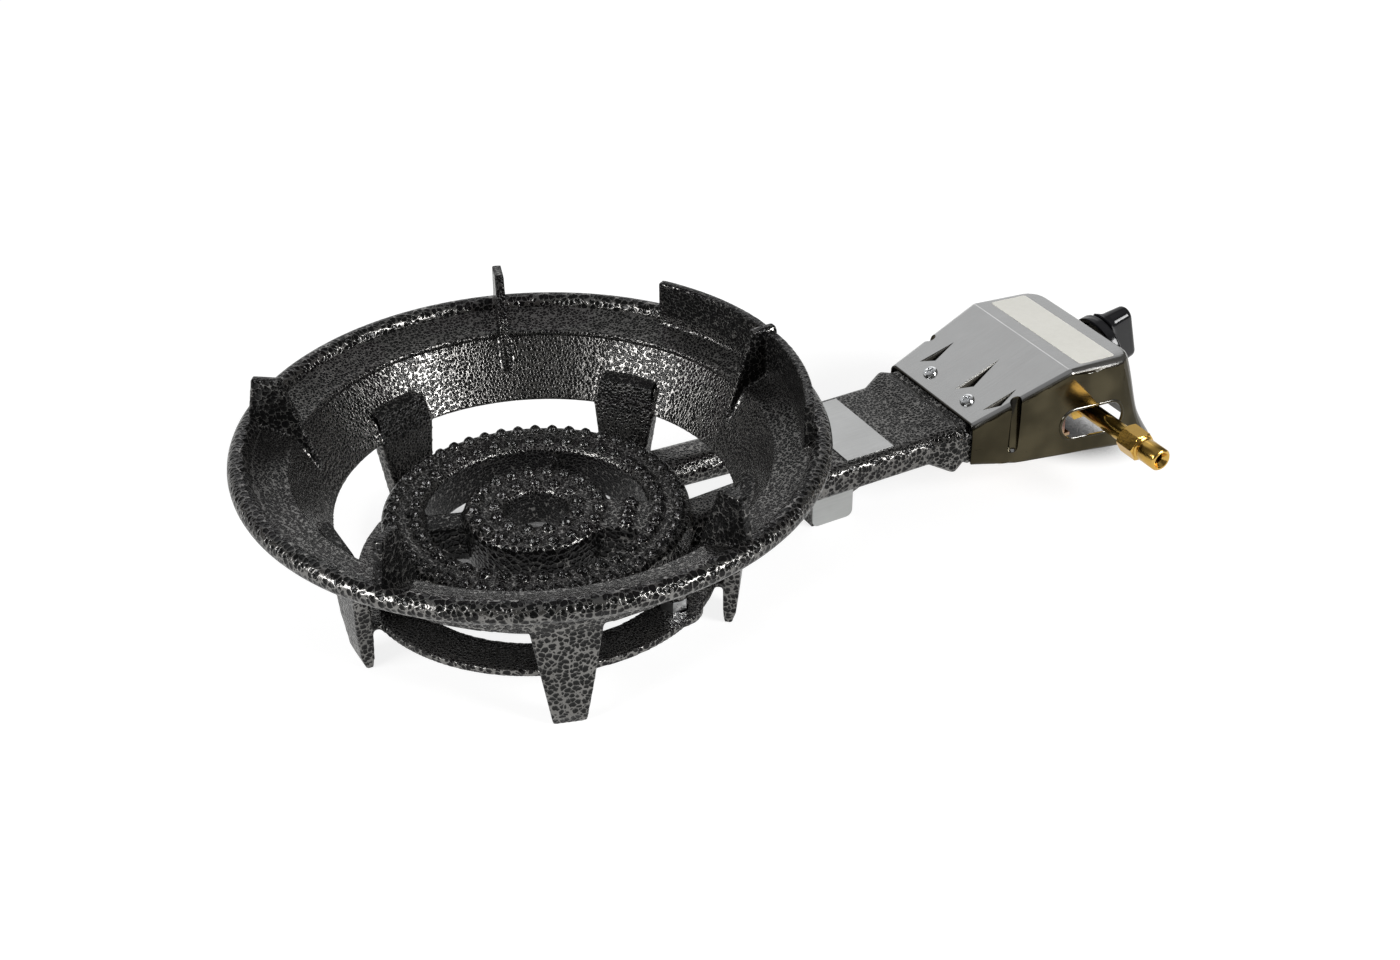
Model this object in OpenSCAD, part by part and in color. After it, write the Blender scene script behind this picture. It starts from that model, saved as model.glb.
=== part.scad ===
// Cast-iron wok burner: a five-legged ring stand, a two-ring burner casting with twin mixing tubes,
// and a gas valve under a sheet-steel cover.
// Millimetres, +Z up. The origin is on the ground under the centre of the ring; +X runs along the tubes.

/* [Wok ring] */
// Outer radius of the ring, over the lip
ring_r = 150; // [145:1:160]
// Height of the lip's crown above the ground
rim_z = 104.5; // [102:0.5:110]
// Radius of the rounded lip
lip_r = 4.2; // [4:0.2:5]
// Fall of the upper band from the lip to the step
band_drop = 8.5; // [6:0.5:12]
// Distance from the throat's edge out to the step between the two bands
step_out = 22; // [19:1:25]
// Width and fall of the step
step_size = 3; // [2:0.5:4]
// Gap between the burner head and the edge of the bowl's open throat
throat_gap = 23; // [21:1:26]
// Height of the throat's edge above the ground
throat_z = 63; // [60:1:66]
// Wall of the ring casting
ring_wall = 5.5; // [5:0.5:7]

/* [Fins and shield] */
// Number of fins and of legs
ray_count = 5; // [5:1:5]
// Height of the fins' top edge above the ground
fin_z = 127.5; // [124:0.5:132]
// Radius of a fin's outer top corner
fin_out_r = 141; // [138:1:143]
// Length of a fin's top edge
fin_top_len = 14; // [10:1:18]
// Distance from the throat's edge out to where a fin's inner edge ends
fin_foot_out = 8.5; // [7:0.5:11]
// Thickness of a fin
fin_t = 5; // [4.5:0.5:7]
// Height of the heat shield's top edge above the ground
shield_z = 125; // [120:1:127]
// Outer radius of the heat shield
shield_r = 140.5; // [139:0.5:142]
// Thickness of the heat shield
shield_t = 5; // [4:0.5:6]
// Angle that the heat shield covers
shield_angle = 67; // [55:1:72]

/* [Legs and base ring] */
// Width of a leg where it leaves the ring
leg_top_w = 35; // [32:1:38]
// Width of a foot on the ground
leg_foot_w = 16.5; // [14:0.5:20]
// How far the feet's outer edge lies inside the throat's edge
foot_inset = 0.5; // [0:0.5:3]
// Thickness of a foot on the ground, seen from the side
foot_t = 4; // [3.5:0.5:6]
// Distance from the burner head's edge out to the base ring's outer edge
base_out = 15; // [13:0.5:17]
// Width of the base ring
base_w = 22; // [18:1:24]
// Height of the base ring's top face
base_z = 28; // [26:1:29]
// Thickness of the base ring
base_t = 4; // [4:0.5:6]

/* [Burner head] */
// Height of the two port rings' flat top
head_z = 59.5; // [58:0.5:61]
// Height of the burner head casting
head_h = 25; // [24:0.5:26]
// Outer radius of the outer port ring
outer_r = 79; // [77:1:80]
// Width of the outer port ring
outer_w = 22; // [20:0.5:23]
// Outer radius of the inner port ring
inner_r = 37.5; // [36:0.5:39]
// Radius of the central air hole
eye_r = 16; // [14:0.5:17]
// Wall of the burner head
head_wall = 4; // [3.5:0.5:4.5]
// Radius of a port's dome
dome_r = 3.5; // [3:0.1:3.7]
// Radius of a port's drilled hole
port_r = 1.1; // [0.8:0.1:1.4]
// Ports in each row, from the outermost row inwards
row_counts = [50, 40, 21, 13];

/* [Mixing tubes] */
// Width over both tubes
tubes_w = 70; // [66:1:74]
// Height of the tubes' section
tube_h = 18; // [17:0.5:20]
// Height of the tubes' centre line above the ground
tube_z = 40; // [39:0.5:41]
// Width of one tube where the two part
branch_w = 27; // [25:1:29]
// Distance from the ring's centre to where the two tubes join
join_x = 150; // [145:1:155]
// Wall of the tubes
tube_wall = 3.5; // [3:0.5:4]
// Distance between the two gas jets
jet_pitch = 38; // [36:1:40]
// Distance from the ring's centre to the open end of the tubes
mouth_x = 262; // [260:1:263]
// Width over the collar at the open end
collar_w = 80; // [78:0.5:81]
// Height of the collar's lower edge above the ground
collar_low_z = 24.5; // [23:0.5:26]
// Thickness of the foot below the tubes
prop_t = 26; // [20:1:30]
// Length of the foot below the tubes
prop_len = 26; // [22:1:32]
// Distance from the ring's centre to the near side of that foot
prop_x = 160; // [157:1:164]

/* [Valve cover] */
// Sheet thickness of the cover
sheet_t = 1.2; // [1:0.1:1.6]
// Radius of the cover's pressed edges
cover_edge_r = 4; // [3.5:0.5:5]
// Distance from the ring's centre to the cover's front edge
cover_x = 246; // [244:1:250]
// Length of the cover at its lower edge
cover_len = 123; // [120:1:125]
// Height of the cover's front edge above the ground
cover_front_z = 53.5; // [53:0.5:55]
// Height of the crest where the slope meets the flat top
crest_z = 74.5; // [73:0.5:78]
// Half the cover's width at its front
cover_front_half = 40.5; // [40:0.5:42]
// Half the cover's width across the flat top
cover_top_half = 47.5; // [46:0.5:49]
// Half the cover's width at its lower rear corners
cover_tail_half = 54.5; // [52:0.5:56]
// Length of the slot for the gas pipe
slot_len = 41; // [38:1:44]
// Height of the slot for the gas pipe
slot_h = 18; // [16:1:19]

/* [Valve and knob] */
// Tilt of the valve's spindle, up towards the knob
spindle_tilt = 14; // [10:1:16]
// Distance from the middle of the valve to the cover's lower rear edge
valve_in = 39; // [37:0.5:41]
// Height of the middle of the valve above the ground
valve_z = 42; // [41:0.5:43]
// Radius of the valve's barrel
barrel_r = 12; // [11.5:0.5:13]
// Radius of the valve's plug
plug_r = 7; // [6.5:0.25:7.25]
// Radius of the spindle
spindle_r = 3; // [2.75:0.05:3.2]
// Radius of the knob's skirt
knob_r = 19.5; // [18:0.5:21]
// Depth of the knob, from its back to the grip's face
knob_depth = 25; // [22:1:27]
// Width of the knob's grip
grip_w = 14; // [12:1:16]
// Travel of the knob when it is pushed in
push_travel = 3; // [2:0.5:3]

/* [Gas inlet] */
// Radius of the gas pipe
pipe_r = 5; // [4:0.25:5.5]
// Distance from the ring's centre line to the end of the inlet
inlet_reach = 101; // [96:1:106]
// Radius of the inlet's threaded spigot
spigot_r = 6.58; // [6.2:0.02:6.8]
// Length of the inlet's threaded spigot
spigot_len = 13; // [11:0.5:15]
// Width across the flats of the inlet's hexagon
inlet_hex = 15; // [14.5:0.5:17]

/* [Hidden] */

// Smoothness of round forms and of rounded sheet corners, and the sides of a hexagon
round_fn = 64;
corner_fn = 24;
edge_fn = 16;
hex_sides = 6;
// Overrun of every cut, the gap of a seated piece, and the radial gaps of fits
over = 1;
seat_gap = 0.1;
run_gap = 0.05;
hole_gap = 0.5;

// Ring casting
ray_angle = 360 / ray_count;
throat_r = outer_r + throat_gap;
step_r = throat_r + step_out;
fin_foot_r = throat_r + fin_foot_out;
lip_c_r = ring_r - lip_r;
lip_c_z = rim_z - lip_r;
lip_share = 0.8;
band_z = rim_z - band_drop;
cone_top = [step_r - step_size, band_z - step_size];
cone_foot = [throat_r, throat_z];
cone_run = cone_top - cone_foot;
cone_out = [cone_run[1], -cone_run[0]] / norm(cone_run);
// A point in the middle of the bowl's wall, at a share of the lower band's height
function wall_mid(share) = cone_foot + share * cone_run + cone_out * ring_wall / 2;
// Where a fin ends and roots in the lower band, as shares of that band's height
fin_foot_share = 0.55;
fin_root_share = 0.35;
fin_in_r = fin_out_r - fin_top_len;

// Legs: bowed outer side as shares of height and of reach, the inner side, and the pad inside the bowl
leg_low_share = 0.1;
leg_mid_share = 0.4;
leg_toe_share = 0.35;
leg_bow_share = 0.7;
leg_low_z = throat_z - ring_wall / 2;
leg_high_r = throat_r + ring_wall;
foot_r = throat_r - foot_inset;
base_r = outer_r + base_out;
leg_reach = leg_high_r - foot_r;
foot_in_r = foot_r - foot_t;
leg_in_r = foot_in_r - foot_t / 8;
leg_tie = base_w / 3;
tie_inset = 0.5;
tie_top_z = base_z - tie_inset;
tie_low_z = base_z - base_t + tie_inset;
pad_rise = 2.5;
pad_share = 0.55;

// Burner seat: three bolts in radial slots of the base ring
seat_count = 3;
seat_turn = 60;
bolt_r = 4;
bolt_af = 13;
bolt_head_h = 5.3;
washer_r = 8;
washer_t = 1.6;
seat_slot_len = 15;
seat_out = 2.5;
seat_r = outer_r + seat_out;
pad_r = seat_slot_len;
ear_r = 2 * bolt_r;
ear_h = 12;
bolt_bite = 10;
head_low_z = head_z - head_h;
nut_h = head_low_z - base_z - seat_gap;
bolt_low_z = base_z - base_t - washer_t;
bolt_top_z = head_low_z + bolt_bite;

// Port rings: the top chamfer and the bottom bevel, and the gas galleries inside
head_chamfer = 1.5;
head_bevel = 5;
outer_in_r = outer_r - outer_w;
row_inset = 5.5;
row_radii = [outer_r - row_inset, outer_in_r + row_inset, inner_r - row_inset, eye_r + row_inset];
row_phases = [0, 4.5, 3, 11];
dome_sink = 0.5;
bridge_turn = -36;
bridge_w = 26;
bridge_lift = 2;
bridge_port_r = (inner_r + outer_in_r) / 2;
bridge_port_step = 9;
stay_turn = 160;
stay_w = 15;
stay_drop = 3;
web_turn = 56;
web_t = 3.5;
web_drop = 6;

// Mixing tubes: each leans out from the joined section towards the head
tube_low_z = tube_z - tube_h / 2;
tube_top_z = tube_z + tube_h / 2;
tube_edge_r = 6;
branch_join_y = (tubes_w - branch_w) / 2;
branch_head_y = 27;
branch_lap = 13;
branch_start_x = outer_r - branch_lap;
branch_run = [join_x - branch_start_x, branch_join_y - branch_head_y];
branch_len = norm(branch_run);
branch_turn = atan2(branch_run[1], branch_run[0]);
join_lap = 6;
bore_h = tube_h - 2 * tube_wall;
bore_w = branch_w - 2 * tube_wall;
near_lap = 3.5;
near_start_x = inner_r - near_lap;

// Collar at the open end: the flare, the neck under the cover, and the air mouth
collar_len = 40;
bead_back = 26;
neck_back = 18;
flare_x = mouth_x - collar_len;
bead_x = mouth_x - bead_back;
neck_x = mouth_x - neck_back;
plate_t = 1;
collar_sink = 0.6;
bead_rise = 4;
bead_top_z = tube_top_z + bead_rise;
neck_fall = 2;
neck_low_z = tube_low_z - neck_fall;
neck_w = 2 * cover_front_half - 2 * sheet_t - 2 * hole_gap;
mouth_depth = 14;
mouth_w = neck_w - 4 * tube_wall;
mouth_h = 2 * (tube_z - neck_low_z - tube_wall);

// Foot below the tubes, its rib, and the plate on its side
prop_end_x = prop_x + prop_len;
rib_low_z = 6;
rib_t = 12;
foot_plate_t = 0.8;
foot_plate_h = 23;
foot_plate_edge_r = 4;
label_len = 30;
label_from = 21;
label_x = join_x + label_from;
label_t = 0.3;

// Cover: its side outline as corners, the inset centres of its rounded edges, and its slope
cover_end_x = cover_x + cover_len;
valve_x = cover_end_x - valve_in;
inlet_shift = 0.5;
inlet_x = valve_x - inlet_shift;
front_low_z = neck_low_z;
crest_along = 61;
crest_x = cover_x + crest_along;
back_in = 17;
back_x = cover_end_x - back_in;
back_fall = 3;
back_z = crest_z - back_fall;
tail_fall = 11.5;
tail_z = front_low_z - tail_fall;
sag_along = 27;
sag_x = cover_x + sag_along;
sag_fall = 4.5;
sag_z = front_low_z - sag_fall;
sag_bulge = 5;
sag_half = cover_front_half + sag_bulge;
cover_outline = [[cover_x, front_low_z], [cover_x, cover_front_z], [crest_x, crest_z], [back_x, back_z],
  [cover_end_x, tail_z], [sag_x, sag_z]];
cover_halves = [cover_front_half, cover_front_half, cover_top_half, cover_top_half, cover_tail_half,
  sag_half];
cover_n = len(cover_outline);
slope_run = cover_outline[2] - cover_outline[1];
slope_turn = atan2(slope_run[1], slope_run[0]);
top_run = cover_outline[3] - cover_outline[2];
top_turn = atan2(top_run[1], top_run[0]);
// Unit direction from one outline corner to another
function heading(a, b) = (b - a) / norm(b - a);
// The centre of an edge radius inside the corner b between a and c, for an outline that runs clockwise
function inset(a, b, c, d) =
  let (u = heading(a, b), v = heading(b, c), n = [u[1], -u[0]], m = [v[1], -v[0]])
  b + (n + m) * d / (1 + n * m);
cover_centres = [for (i = [0 : cover_n - 1])
  inset(cover_outline[(i + cover_n - 1) % cover_n], cover_outline[i], cover_outline[(i + 1) % cover_n],
    cover_edge_r)];
// How far the hollow of the cover runs on past its open front and its open underside, as shares of its edges
open_front_share = 0.3;
open_low_share = 0.5;
open_tail_share = 0.3;
cover_screw_along = 10.5;
cover_screw_ys = [-20, 15.5];
cover_screw_r = 2;
cover_screw_len = 6;
pan_r = 4.2;
pan_h = 2;
slot_back = 7.5;
slot_x = inlet_x - slot_back;
slot_z = tube_z;
slot_turn = 2;
dart_lens = [14, 23.5, 15];
dart_ys = [-33.5, -10, 24.5];
dart_along = 18.5;
dart_w = 8;
dart_depth = 1.6;
label_margin = 6;
cover_label_t = 0.2;
cover_label_from = 9;
cover_label_len = 25;

// Jets and their bracket
jet_y = jet_pitch / 2;
bracket_t = 2;
plate_x = mouth_x + seat_gap;
plate_fall = 4.5;
plate_low_z = neck_low_z - plate_fall;
plate_h = 28.5;
shelf_z = plate_low_z + bracket_t;
shelf_stop = 12;
shelf_end_x = valve_x - shelf_stop;
shelf_w = 74;
lip_h = 22;
lip_len = 29;
lip_stop = 4;
lip_x = shelf_end_x - lip_stop - lip_len;
bracket_screw_r = 2;
bracket_screw_z = tube_z;
bracket_screw_len = 10;
air_hole_r = 2.6;
air_hole_count = 4;
air_ring_r = 8.5;
shutter_r = 12.5;
shutter_t = 1.2;
shutter_tab = 4;
shutter_x = plate_x + bracket_t + 3 * seat_gap;
journal_r = 4.5;
journal_hole_r = journal_r + run_gap;
jet_tip_len = 9;
jet_tip_r = 3;
jet_hex = 13;
jet_hex_len = 8;
jet_shank_r = 5.5;
jet_bore_r = 2;
jet_hole_r = 0.6;
jet_thread_len = 4;
collar_gap = 0.2;
jet_shoulder_x = shutter_x + shutter_t + collar_gap;

// Valve body: barrel, manifold and inlet boss; stations along the spindle count from the barrel's middle
manifold_r = 8;
manifold_back = 21;
manifold_x = valve_x - manifold_back;
manifold_len = jet_pitch + 2 * manifold_r;
gas_r = 3;
boss_r = 8;
boss_y = 22;
inlet_fall = 1.5;
inlet_z = tube_z - inlet_fall;
barrel_low = -15;
barrel_high = 14;
plug_low = -8;
plug_high = 4;
plug_slot_w = 2.6;
plug_floor = 3;
plug_slot_low = plug_low + plug_floor;
collar_room = 3;
collar_low = barrel_high - collar_room;
stem_collar_t = 2;
stem_collar_r = plug_r - 2 * hole_gap;
stem_high = 50;
tongue_low = plug_slot_low + push_travel + hole_gap;
bonnet_r = barrel_r;
bonnet_t = 3;
neck_r = 6;
neck_len = 6;
bonnet_screw_r = 1.2;
bonnet_screw_y = (plug_r + barrel_r) / 2;
bonnet_screw_len = 9;
bonnet_head_r = 2.2;
bonnet_head_h = 1.6;
spring_wire_r = 0.5;
spring_turns = 4;
spring_steps = 8;
spring_sides = 6;
spring_room = 0.4;
spring_r = spindle_r + spring_wire_r + spring_room;
body_screw_r = 2;
body_screw_len = 9;
body_foot_r = 6;
body_screw_ahead = 1;
body_screw_x = manifold_x + body_screw_ahead;

// Knob: skirt, grip and socket
knob_back = 34.5;
skirt_t = 5;
skirt_fall = 3;
grip_trim = 1;
grip_len = 2 * (knob_r - grip_trim);
socket_r = spindle_r + run_gap;
hub_r = 6.5;
face_round = 3;
knob_wall = 3;

// Gas inlet
pipe_wall = 1.5;
pipe_start_y = 8;
pipe_nut_af = 17;
pipe_nut_len = 10;
connector_y = 72;
spigot_bore_r = 2.6;
spigot_chamfer = 1.2;
neck_relief = 1.2;
neck_step_r = spigot_r - neck_relief;
neck_step_len = 2.5;
pipe_socket = 6;

module stand() {
  color("dimgray") difference() {
    union() {
      wok_ring();
      for (k = [0 : ray_count - 1]) {
        rotate(k * ray_angle) fin();
        rotate((k + 0.5) * ray_angle) leg();
      }
      heat_shield();
      base_ring();
    }
    each_seat() seat_slot();
  }
}

// Conical wok ring with its rounded lip, stepped band and open throat
module wok_ring() {
  rotate_extrude($fn = round_fn) {
    polygon([
      [lip_c_r, lip_c_z + lip_r * lip_share],
      [step_r, band_z],
      cone_top,
      cone_foot,
      cone_foot + cone_out * ring_wall,
      cone_top + cone_out * ring_wall,
      [lip_c_r, lip_c_z - lip_r * lip_share]
    ]);
    translate([lip_c_r, lip_c_z]) circle(lip_r);
  }
}

// A plate that stands up from the ring and carries the wok on its inner edge
module fin() {
  slab(fin_t) polygon([
    [lip_c_r, lip_c_z],
    [fin_out_r, fin_z],
    [fin_in_r, fin_z],
    [fin_foot_r, (cone_foot + fin_foot_share * cone_run)[1]],
    wall_mid(fin_root_share),
    wall_mid(1)
  ]);
}

// A leg tapers to its foot, ties into the base ring and ends in a pad inside the bowl
module leg() {
  intersection() {
    slab(leg_top_w + 2 * over) polygon([
      [leg_in_r, tie_top_z],
      cone_foot - cone_out * pad_rise,
      cone_foot + cone_run * pad_share - cone_out * pad_rise,
      wall_mid(pad_share),
      [leg_high_r, leg_low_z],
      [foot_r + leg_bow_share * leg_reach, leg_mid_share * throat_z],
      [foot_r + leg_toe_share * leg_reach, leg_low_share * throat_z],
      [foot_r, 0],
      [foot_in_r, 0],
      [leg_in_r, leg_low_share * throat_z],
      [leg_in_r, tie_low_z],
      [base_r - leg_tie, tie_low_z],
      [base_r - leg_tie, tie_top_z]
    ]);
    rotate([90, 0, 90]) linear_extrude(ring_r) polygon([
      [-leg_foot_w / 2, 0],
      [leg_foot_w / 2, 0],
      [leg_top_w / 2, leg_low_z],
      [leg_top_w / 2, band_z],
      [-leg_top_w / 2, band_z],
      [-leg_top_w / 2, leg_low_z]
    ]);
  }
}

// Low wall on the ring that keeps the heat off the tubes
module heat_shield() {
  rotate(-shield_angle / 2) rotate_extrude(angle = shield_angle, $fn = round_fn)
    translate([shield_r - shield_t, band_z]) square([shield_t, shield_z - band_z]);
}

// Flat ring that ties the legs together, with a pad at each burner bolt
module base_ring() {
  translate([0, 0, base_z - base_t]) difference() {
    union() {
      cylinder(h = base_t, r = base_r, $fn = round_fn);
      each_seat() cylinder(h = base_t, r = pad_r, $fn = round_fn);
    }
    difference() {
      translate([0, 0, -over]) cylinder(h = base_t + 2 * over, r = base_r - base_w, $fn = round_fn);
      each_seat() translate([0, 0, -2 * over]) cylinder(h = base_t + 4 * over, r = pad_r, $fn = round_fn);
    }
  }
}

// Radial slot for a burner bolt
module seat_slot() {
  run = seat_slot_len - 2 * (bolt_r + hole_gap);
  translate([0, 0, base_z - base_t - over]) linear_extrude(base_t + 2 * over)
    pill(seat_slot_len, seat_slot_len - run);
}

module burner_body() {
  color("#2b2b2b") difference() {
    union() {
      port_ring(outer_r, outer_in_r, head_bevel, head_chamfer);
      port_ring(inner_r, eye_r, head_chamfer, head_bevel);
      each_port() translate([0, 0, head_z - dome_sink]) sphere(dome_r, $fn = corner_fn);
      bridges();
      each_seat() translate([0, 0, head_low_z]) cylinder(h = ear_h, r = ear_r, $fn = round_fn);
      for (side = [-1, 1]) branch(side, branch_w, tube_h, 0);
      tubes_joined();
      collar();
      prop();
    }
    galleries();
    each_port() translate([0, 0, head_z - head_chamfer - head_wall])
      cylinder(h = head_wall + head_chamfer + 2 * dome_r, r = port_r, $fn = corner_fn);
    gas_ways();
    each_seat() translate([0, 0, head_low_z - over])
      cylinder(h = bolt_bite + 2 * over, r = bolt_r + run_gap, $fn = round_fn);
    for (y = cover_screw_ys) on_slope(cover_screw_along, y, -cover_screw_len - over)
      cylinder(h = cover_screw_len + 2 * over, r = cover_screw_r + run_gap, $fn = corner_fn);
    for (side = [-1, 1]) translate([mouth_x + over, side * bracket_screw_y(), bracket_screw_z])
      rotate([0, -90, 0])
        cylinder(h = bracket_screw_len + over, r = bracket_screw_r + run_gap, $fn = corner_fn);
  }
}

// One ring of the head: a chamfered top for the ports and a bevel along both edges of its underside
module port_ring(out_r, in_r, out_bevel, in_bevel) {
  rotate_extrude($fn = round_fn) polygon([
    [in_r, head_z - head_chamfer],
    [in_r + head_chamfer, head_z],
    [out_r - head_chamfer, head_z],
    [out_r, head_z - head_chamfer],
    [out_r, head_low_z + out_bevel],
    [out_r - out_bevel, head_low_z],
    [in_r + in_bevel, head_low_z],
    [in_r, head_low_z + in_bevel]
  ]);
}

// Places its children at every port: four rows round the rings and a short row on the bridge
module each_port() {
  for (row = [0 : len(row_counts) - 1], k = [0 : row_counts[row] - 1])
    rotate(k * 360 / row_counts[row] + row_phases[row]) translate([row_radii[row], 0, 0]) children();
  for (side = [-1, 0, 1])
    rotate(bridge_turn) translate([bridge_port_r, side * bridge_port_step, 0]) children();
}

// Bridges between the rings: the hollow one that feeds the inner ring, a stay and a thin web
module bridges() {
  bridge(bridge_turn, bridge_w, dome_sink);
  bridge(stay_turn, stay_w, stay_drop);
  bridge(web_turn, web_t, web_drop);
}

// One bridge: its direction, its width and how far its top lies below the rings' top
module bridge(turn, w, drop) {
  start_r = inner_r - 2 * head_wall;
  low_z = head_low_z + bridge_lift;
  rotate(turn) translate([start_r, -w / 2, low_z])
    cube([outer_in_r + 2 * head_wall - start_r, w, head_z - drop - low_z]);
}

// Gas galleries in the rings; the outer one stops at the way to the inner ring
module galleries() {
  low_z = head_low_z + head_wall;
  high_z = head_z - head_wall;
  difference() {
    rotate_extrude($fn = round_fn) translate([outer_in_r + head_wall, low_z])
      square([outer_w - 2 * head_wall, high_z - low_z]);
    translate([0, -branch_head_y - branch_w / 2, 0]) cube([outer_r, branch_w, head_z]);
  }
  rotate_extrude($fn = round_fn) translate([eye_r + head_wall, low_z])
    square([inner_r - eye_r - 2 * head_wall, high_z - low_z]);
}

// One leaning tube from the joined section to the head; side is 1 for the far tube and -1 for the near one
module branch(side, w, h, reach) {
  translate([branch_start_x, side * branch_head_y, tube_z]) rotate(side * branch_turn)
    translate([-reach, 0, 0]) rotate([90, 0, 90]) linear_extrude(branch_len + join_lap + reach) pill(w, h);
}

// Flat section where both tubes run side by side
module tubes_joined() {
  translate([join_x, 0, tube_z]) rotate([90, 0, 90]) linear_extrude(bead_x - join_x)
    soft_rect(tubes_w, tube_h, tube_edge_r);
}

// Flared collar and the neck that carries the cover and the bracket
module collar() {
  hull() {
    section(flare_x, tubes_w - 2 * collar_sink, tube_low_z + collar_sink, tube_top_z - collar_sink);
    section(bead_x, collar_w, collar_low_z, bead_top_z);
    section(neck_x, neck_w - 2 * collar_sink, neck_low_z + collar_sink, neck_top(neck_x) - collar_sink);
  }
  neck(neck_w, cover_edge_r);
  neck(neck_w - 2 * cover_edge_r, 0);
}

// Part of the neck: its width, and how far its sloping top lies below the cover's sheet
module neck(w, drop) {
  translate([0, w / 2, 0]) rotate([90, 0, 0]) linear_extrude(w) polygon([
    [neck_x, neck_low_z],
    [mouth_x, neck_low_z],
    [mouth_x, neck_top(mouth_x) - drop],
    [neck_x, neck_top(neck_x) - drop]
  ]);
}

// Height of the neck's sloping top under the cover
function neck_top(x) =
  cover_front_z - (sheet_t + seat_gap) / cos(slope_turn) + (x - cover_x) * tan(slope_turn);
// Distance of a bracket screw from the centre line
function bracket_screw_y() = mouth_w / 2 + tube_wall;

// Thin slice of the collar with rounded corners
module section(x, w, low_z, high_z) {
  for (y = [-1, 1], z = [low_z + tube_edge_r, high_z - tube_edge_r])
    translate([x, y * (w / 2 - tube_edge_r), z]) rotate([0, 90, 0])
      cylinder(h = plate_t, r = tube_edge_r, $fn = corner_fn);
}

// Gas ways: two bores from the air mouth to the galleries
module gas_ways() {
  branch(1, bore_w, bore_h, 0);
  branch(-1, bore_w, bore_h, branch_start_x - near_start_x);
  for (side = [-1, 1]) translate([join_x, side * branch_join_y, tube_z]) rotate([90, 0, 90])
    linear_extrude(mouth_x - join_x) pill(bore_w, bore_h);
  translate([mouth_x - mouth_depth, 0, tube_z]) rotate([90, 0, 90]) linear_extrude(mouth_depth + over)
    soft_rect(mouth_w, mouth_h, tube_wall);
}

// Foot below the tubes with a rib that runs out towards the collar
module prop() {
  translate([prop_x, -prop_t / 2, 0]) cube([prop_len, prop_t, tube_z - bore_h / 2 - tube_wall / 2]);
  slab(rib_t) polygon([
    [prop_end_x - over, rib_low_z],
    [prop_end_x, rib_low_z],
    [bead_x, collar_low_z + tube_wall],
    [bead_x, tube_low_z + tube_wall / 2],
    [prop_end_x - over, tube_low_z + tube_wall / 2]
  ]);
}

module burner_bolts() {
  color("#8d8f92") each_seat() {
    translate([0, 0, bolt_low_z - bolt_head_h]) hex_prism(bolt_af, bolt_head_h);
    translate([0, 0, bolt_low_z - over])
      cylinder(h = bolt_top_z - bolt_low_z + over, r = bolt_r, $fn = round_fn);
  }
}

module burner_washers() {
  color("#a9abad") each_seat() translate([0, 0, bolt_low_z])
    washer(washer_r, bolt_r + hole_gap / 2, washer_t);
}

module burner_nuts() {
  color("#8d8f92") each_seat() translate([0, 0, base_z]) difference() {
    hex_prism(bolt_af, nut_h);
    translate([0, 0, -over]) cylinder(h = nut_h + 2 * over, r = bolt_r + run_gap, $fn = round_fn);
  }
}

// Bare foil label over the top of the tubes
module rating_label() {
  w = tubes_w - 2 * tube_edge_r;
  color("silver") translate([label_x, -w / 2, tube_top_z]) cube([label_len, w, label_t]);
}

// Bare plate on the near side of the foot
module foot_plate() {
  color("silver") translate([prop_x + prop_len / 2, -prop_t / 2, foot_plate_h / 2 + seat_gap])
    rotate([90, 0, 0]) linear_extrude(foot_plate_t) soft_rect(prop_len, foot_plate_h, foot_plate_edge_r);
}

// Zinc-plated bracket: a plate across the air mouth, and a shelf below the valve with turned-up sides
module valve_bracket() {
  color("#c9a94a") difference() {
    union() {
      translate([plate_x, -neck_w / 2, neck_low_z])
        cube([bracket_t, neck_w, plate_low_z + plate_h - neck_low_z]);
      translate([plate_x, -shelf_w / 2, plate_low_z]) cube([bracket_t, shelf_w, plate_h]);
      translate([plate_x, -shelf_w / 2, plate_low_z]) cube([shelf_end_x - plate_x, shelf_w, bracket_t]);
      for (y = [-shelf_w / 2, shelf_w / 2 - bracket_t])
        translate([lip_x, y, plate_low_z]) cube([lip_len, bracket_t, lip_h]);
    }
    for (side = [-1, 1]) {
      translate([plate_x - over, side * jet_y, tube_z]) rotate([0, 90, 0]) {
        cylinder(h = bracket_t + 2 * over, r = journal_hole_r, $fn = round_fn);
        air_holes(bracket_t + 2 * over);
      }
      translate([plate_x - over, side * bracket_screw_y(), bracket_screw_z]) rotate([0, 90, 0])
        cylinder(h = bracket_t + 2 * over, r = bracket_screw_r + hole_gap / 2, $fn = corner_fn);
    }
    translate([body_screw_x, 0, plate_low_z - over])
      cylinder(h = bracket_t + 2 * over, r = body_screw_r + hole_gap / 2, $fn = corner_fn);
  }
}

module bracket_screws() {
  color("#b9bbbd") for (side = [-1, 1])
    translate([plate_x + bracket_t, side * bracket_screw_y(), bracket_screw_z]) rotate([0, 90, 0])
      pan_screw(bracket_screw_r, bracket_screw_len, bracket_screw_r * 2, pan_h);
}

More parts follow.
